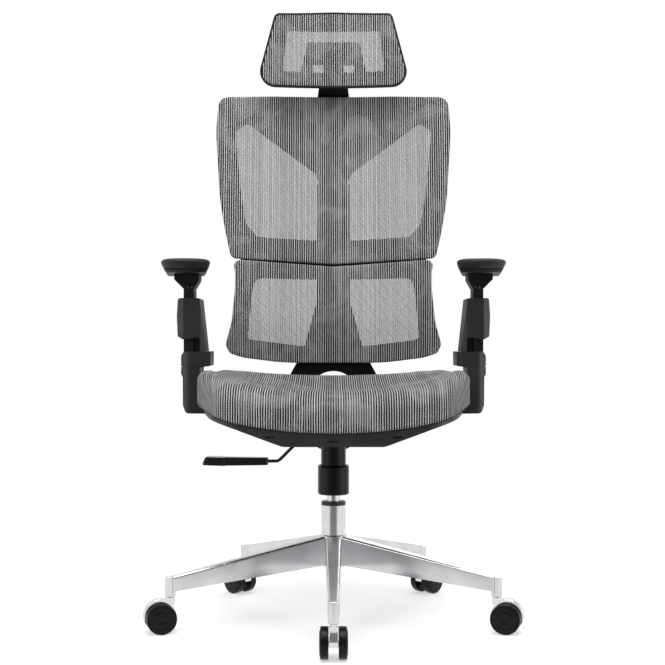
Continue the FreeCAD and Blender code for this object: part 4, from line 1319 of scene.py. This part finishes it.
@dataclass
class Arm(Assembly):
    """One adjustable arm: cover, post, slider and soft pad."""

    side: Side = Side.LEFT
    pad_x: float = 304.0
    pad_y: float = 4.0
    toe_out: float = -6.0
    bottom: float = 718.4
    # (height over the bottom, width, length) of the pad from its lower edge to its crown
    layers: tuple[Corner, ...] = ((0.0, 85.5, 228.5), (0.9, 87.6, 231.0), (6.5, 93.5, 239.5),
                                  (11.2, 98.0, 246.5), (13.6, 99.0, 248.0), (16.2, 97.6, 246.0),
                                  (18.6, 92.5, 240.0), (20.1, 84.0, 231.0), (20.9, 72.0, 218.0),
                                  (20.9, 52.0, 190.0), (20.5, 30.0, 150.0), (20.3, 10.0, 110.0))
    front_round: float = 0.94    # corner radii as shares of the half width
    rear_round: float = 0.78
    rear_width: float = 0.97     # width at the rear as a share of that in front
    ring_step: float = 3.0
    ring_points: int = 72
    button_x: float = 293.5
    button_z: float = 684.4
    button_points: int = 32
    button_round: float = 0.12
    # (radius, height over the cover) of the button from its hidden edge to its crown
    button_profile: tuple[Point, ...] = (
        (6.4, -1.5), (6.4, 0.5), (6.0, 0.9), (5.5, 0.8), (5.3, 0.3), (5.1, 0.3), (4.9, 1.0),
        (4.2, 1.7), (3.0, 2.2), (1.2, 2.4))

    def build(self) -> None:
        """Dresses the arm's hard pieces and makes its pad."""
        name = "arm_" + self.side.word
        self.dress(COVER_NYLON, name + "_housing", name + "_release")
        self.dress(FRAME_NYLON, name + "_post", name + "_slider")
        self.pad(name)
        self.button(name)

    def across(self, x: float) -> float:
        """A distance from the middle plane, on this arm's side."""
        return self.side.value * x

    def pad(self, name: str) -> None:
        """Moulds the pad: undercut lower edge, crowned top with a shallow hollow.

        Args:
            name: the arm's name.
        """
        spots: list[Vector] = []
        turn = Matrix.Rotation(math.radians(self.toe_out * self.side.value), 3, "Z")
        pivot = Vector((self.across(self.pad_x), self.pad_y, 0.0))
        for rise, wide, long in self.layers:
            w, n = wide / 2, long / 2
            front, rear = w * self.front_round, w * self.rear_round
            corners = [(-w, -n, front), (w, -n, front), (w * self.rear_width, n, rear),
                       (-w * self.rear_width, n, rear)]
            for u, v in self.even(rounded(corners, self.ring_step), self.ring_points):
                spots.append(pivot + turn @ Vector((self.across(u), v, self.bottom + rise)))
        faces = lofted(self.ring_points, len(self.layers))
        if self.side is Side.RIGHT:
            faces = [tuple(reversed(f)) for f in faces]
        pad = built(name + "_cushion", spots, faces)
        surface = pad.modifiers.new("surface", "SUBSURF")
        surface.levels = surface.render_levels = 1
        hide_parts(name + "_pad")
        self.mount(pad, name + "_pad", PAD_SKIN, "soft_pad")

    @staticmethod
    def even(points: Sequence[Point], count: int) -> list[Point]:
        """Spreads a closed outline's points evenly, from where it crosses its front.

        Args:
            points: the outline, anticlockwise.
            count: how many points to give.

        Returns:
            The points at even steps round it.
        """
        first = min(range(len(points)), key=lambda i: (round(points[i][1], 3), abs(points[i][0])))
        loop = [Vector(points[(first + i) % len(points)]) for i in range(len(points) + 1)]
        lengths = [0.0]
        for a, b in zip(loop, loop[1:]):
            lengths.append(lengths[-1] + (b - a).length)
        spread, i = [], 0
        for k in range(count):
            at = lengths[-1] * k / count
            while lengths[i + 1] < at:
                i += 1
            p = loop[i].lerp(loop[i + 1], (at - lengths[i]) / (lengths[i + 1] - lengths[i]))
            spread.append((p.x, p.y))
        return spread

    def button(self, name: str) -> None:
        """Sets the small locking button on the front of the post's head.

        Args:
            name: the arm's name.
        """
        low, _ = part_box(name + "_post")
        centre = Vector((self.across(self.button_x), low.y / MM, self.button_z))
        knob = built(name + "_button", *turned(self.button_profile, centre, Vector((0, -1, 0)),
                                               self.button_points))
        self.mount(softened(knob, self.button_round), name + "_post", GRIP_NYLON, "satin_black")


@dataclass
class MeshPanel(Assembly):
    """Upright panel of mesh stretched over a frame that curves about an upright axis."""

    name: str = ""
    body: str = ""
    line: tuple[Point, ...] = ()         # (Y, Z) of the front in the middle plane
    axis_y: float = 0.0
    corners: tuple[Corner, ...] = ()     # right half of the front outline
    centre: Point = (0.0, 0.0)
    wrap: float = 0.0                    # how far the mesh turns back round the rim
    margin: float = 0.0                  # how far inside the outline its edge lies
    flat_size: Point = (500.0, 400.0)    # cut of the mesh before it is stretched
    step: float = 7.0
    rings: int = 24
    sheet_depth: float = 1.1             # the mesh lies this far under the frame's outer face
    tuck: float = 0.8                    # an unwrapped edge dives this far into its groove
    rim: float = 3.0                     # radius of the turn over the rim
    rim_turns: tuple[float, ...] = (0.0, 0.5, 1.0, math.pi / 2)
    side_steps: int = 3
    # (margin, depth past the wrap) of the hem behind the rim
    hem: tuple[Point, ...] = ((1.6, -0.6), (4.0, 0.4), (7.0, 0.4))
    bead_radius: float = 1.8
    bead_inset: float = 5.5

    def __post_init__(self) -> None:
        """Solves the front line, as depth by height."""
        self.depth = SmoothLine([(z, y) for y, z in self.line])

    def place(self, x: float, z: float, behind: float) -> Vector:
        """Point of the curved front, moved back by a depth."""
        reach = self.depth(z) + behind - self.axis_y
        return Vector((x, self.axis_y + math.sqrt(reach * reach - x * x), z))

    def flat(self, x: float, z: float) -> Point:
        """The same point on the flat cloth."""
        reach = self.depth(z) - self.axis_y
        return reach * math.asin(x / reach), z

    def sections(self) -> list[Point]:
        """Works out the mesh's edge.

        Returns:
            (margin, depth) of each ring from the flat of the mesh round to its hidden edge.
        """
        if not self.wrap:
            return [(self.margin, self.sheet_depth),
                    (self.margin - self.tuck, self.sheet_depth + self.tuck)]
        steps = [(self.tuck + self.rim * (1 - math.sin(a)),
                  self.sheet_depth + self.rim * (1 - math.cos(a))) for a in self.rim_turns]
        steps += [(self.tuck, self.sheet_depth + self.rim
                   + (self.wrap - 2 * self.rim) * k / self.side_steps)
                  for k in range(1, self.side_steps + 1)]
        return steps + [(margin, self.wrap + depth) for margin, depth in self.hem]

    def build(self) -> None:
        """Builds the sheet, edges it and mounts it."""
        outline = rounded(mirrored(self.corners), self.step)
        normals = outward(outline)
        sections = self.sections()
        inner = drawn_in(outline, sections[0][0])
        field = [self.centre] + fanned(self.centre, inner, self.rings)
        spots = [self.place(*p, self.sheet_depth) for p in field]
        flats = [self.flat(*p) for p in field]
        runs = [0.0] * len(outline)
        before: list[Vector] = []
        for margin, behind in sections:
            ring = [self.place(*p, behind) for p in drawn_in(outline, margin)]
            if before:
                runs = [run + (a - b).length for run, a, b in zip(runs, ring, before)]
            for p, n, run in zip(inner, normals, runs):
                u, v = self.flat(*p)
                flats.append((u + n.x * run, v + n.y * run))
            spots += ring
            before = ring
        sheet, area = self.stretched(self.name, self.body, spots, flats, len(outline))
        if self.wrap:
            edge = [self.place(*p, self.wrap + self.tuck)
                    for p in drawn_in(outline, self.bead_inset)]
            bead = beaded(self.name + "_bead", edge, self.bead_radius)
            self.mount(bead, self.body, FRAME_NYLON, "black_nylon")


@dataclass
class Back(Assembly):
    """Upper back, lumbar support and headrest."""

    hinge: Corner = (29.4, 274.0, 1170.0)    # head of the headrest's hinge screw
    hinge_radius: float = 5.2

    def build(self) -> None:
        """Dresses the frames and stretches a mesh over each."""
        self.dress(FRAME_NYLON, "back_frame", "lumbar_frame", "headrest_frame")
        self.dress(SATIN_NYLON, "headrest_post")
        self.dress(TURNED_STEEL, "headrest_pin")
        for panel in self.panels():
            panel.build()
        x, y, z = self.hinge
        places = [(Vector((side.value * x, y, z)), Vector((side.value, 0, 0))) for side in Side]
        self.screws("headrest_hinge_screws", "headrest", places, self.hinge_radius)

    def panels(self) -> list[MeshPanel]:
        """Lists the sizes of the three meshes.

        Returns:
            The panels of the upper back, the lumbar support and the headrest.
        """
        return [
            MeshPanel(self.frame, "back_mesh", "backrest", axis_y=-700.0,
                      line=((234.4, 722), (241, 770), (262, 900), (284, 1030), (302, 1140)),
                      corners=((0, 744, 0), (228, 757, 14), (242, 820, 300), (254, 889, 500),
                               (265, 1045, 300), (259, 1126, 24), (140, 1132, 600)),
                      centre=(0.0, 950.0), wrap=16.5, flat_size=(580.0, 440.0)),
            MeshPanel(self.frame, "lumbar_mesh", "lumbar", axis_y=-600.0,
                      line=((216, 510), (214, 560), (209, 620), (212, 690), (220, 765)),
                      corners=((110, 524, 500), (200, 536, 90), (229, 546, 12), (238, 565, 14),
                               (224, 616, 80), (217, 690, 80), (217, 725, 60), (223, 754.5, 14),
                               (0, 739, 0)),
                      centre=(0.0, 640.0), wrap=13.5, flat_size=(510.0, 270.0)),
            MeshPanel(self.frame, "headrest_mesh", "headrest", axis_y=-330.0,
                      line=((246, 1130), (244, 1180), (243, 1240), (247, 1320)),
                      corners=((173, 1142, 32), (130.5, 1306.5, 14), (0, 1312, 400)),
                      centre=(0.0, 1222.0), margin=4.5, flat_size=(335.0, 175.0)),
        ]


def main() -> None:
    """Builds the chair's looks, piece by piece, round its frame."""
    logging.basicConfig(level=logging.INFO, format="%(name)s: %(message)s")
    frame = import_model()
    Studio().build()
    for part in (Base(frame), Mechanism(frame), Seat(frame), Arm(frame, Side.LEFT),
                 Arm(frame, Side.RIGHT), Back(frame)):
        LOG.info("building %s", type(part).__name__)
        part.build()


if __name__ == "__main__":
    main()
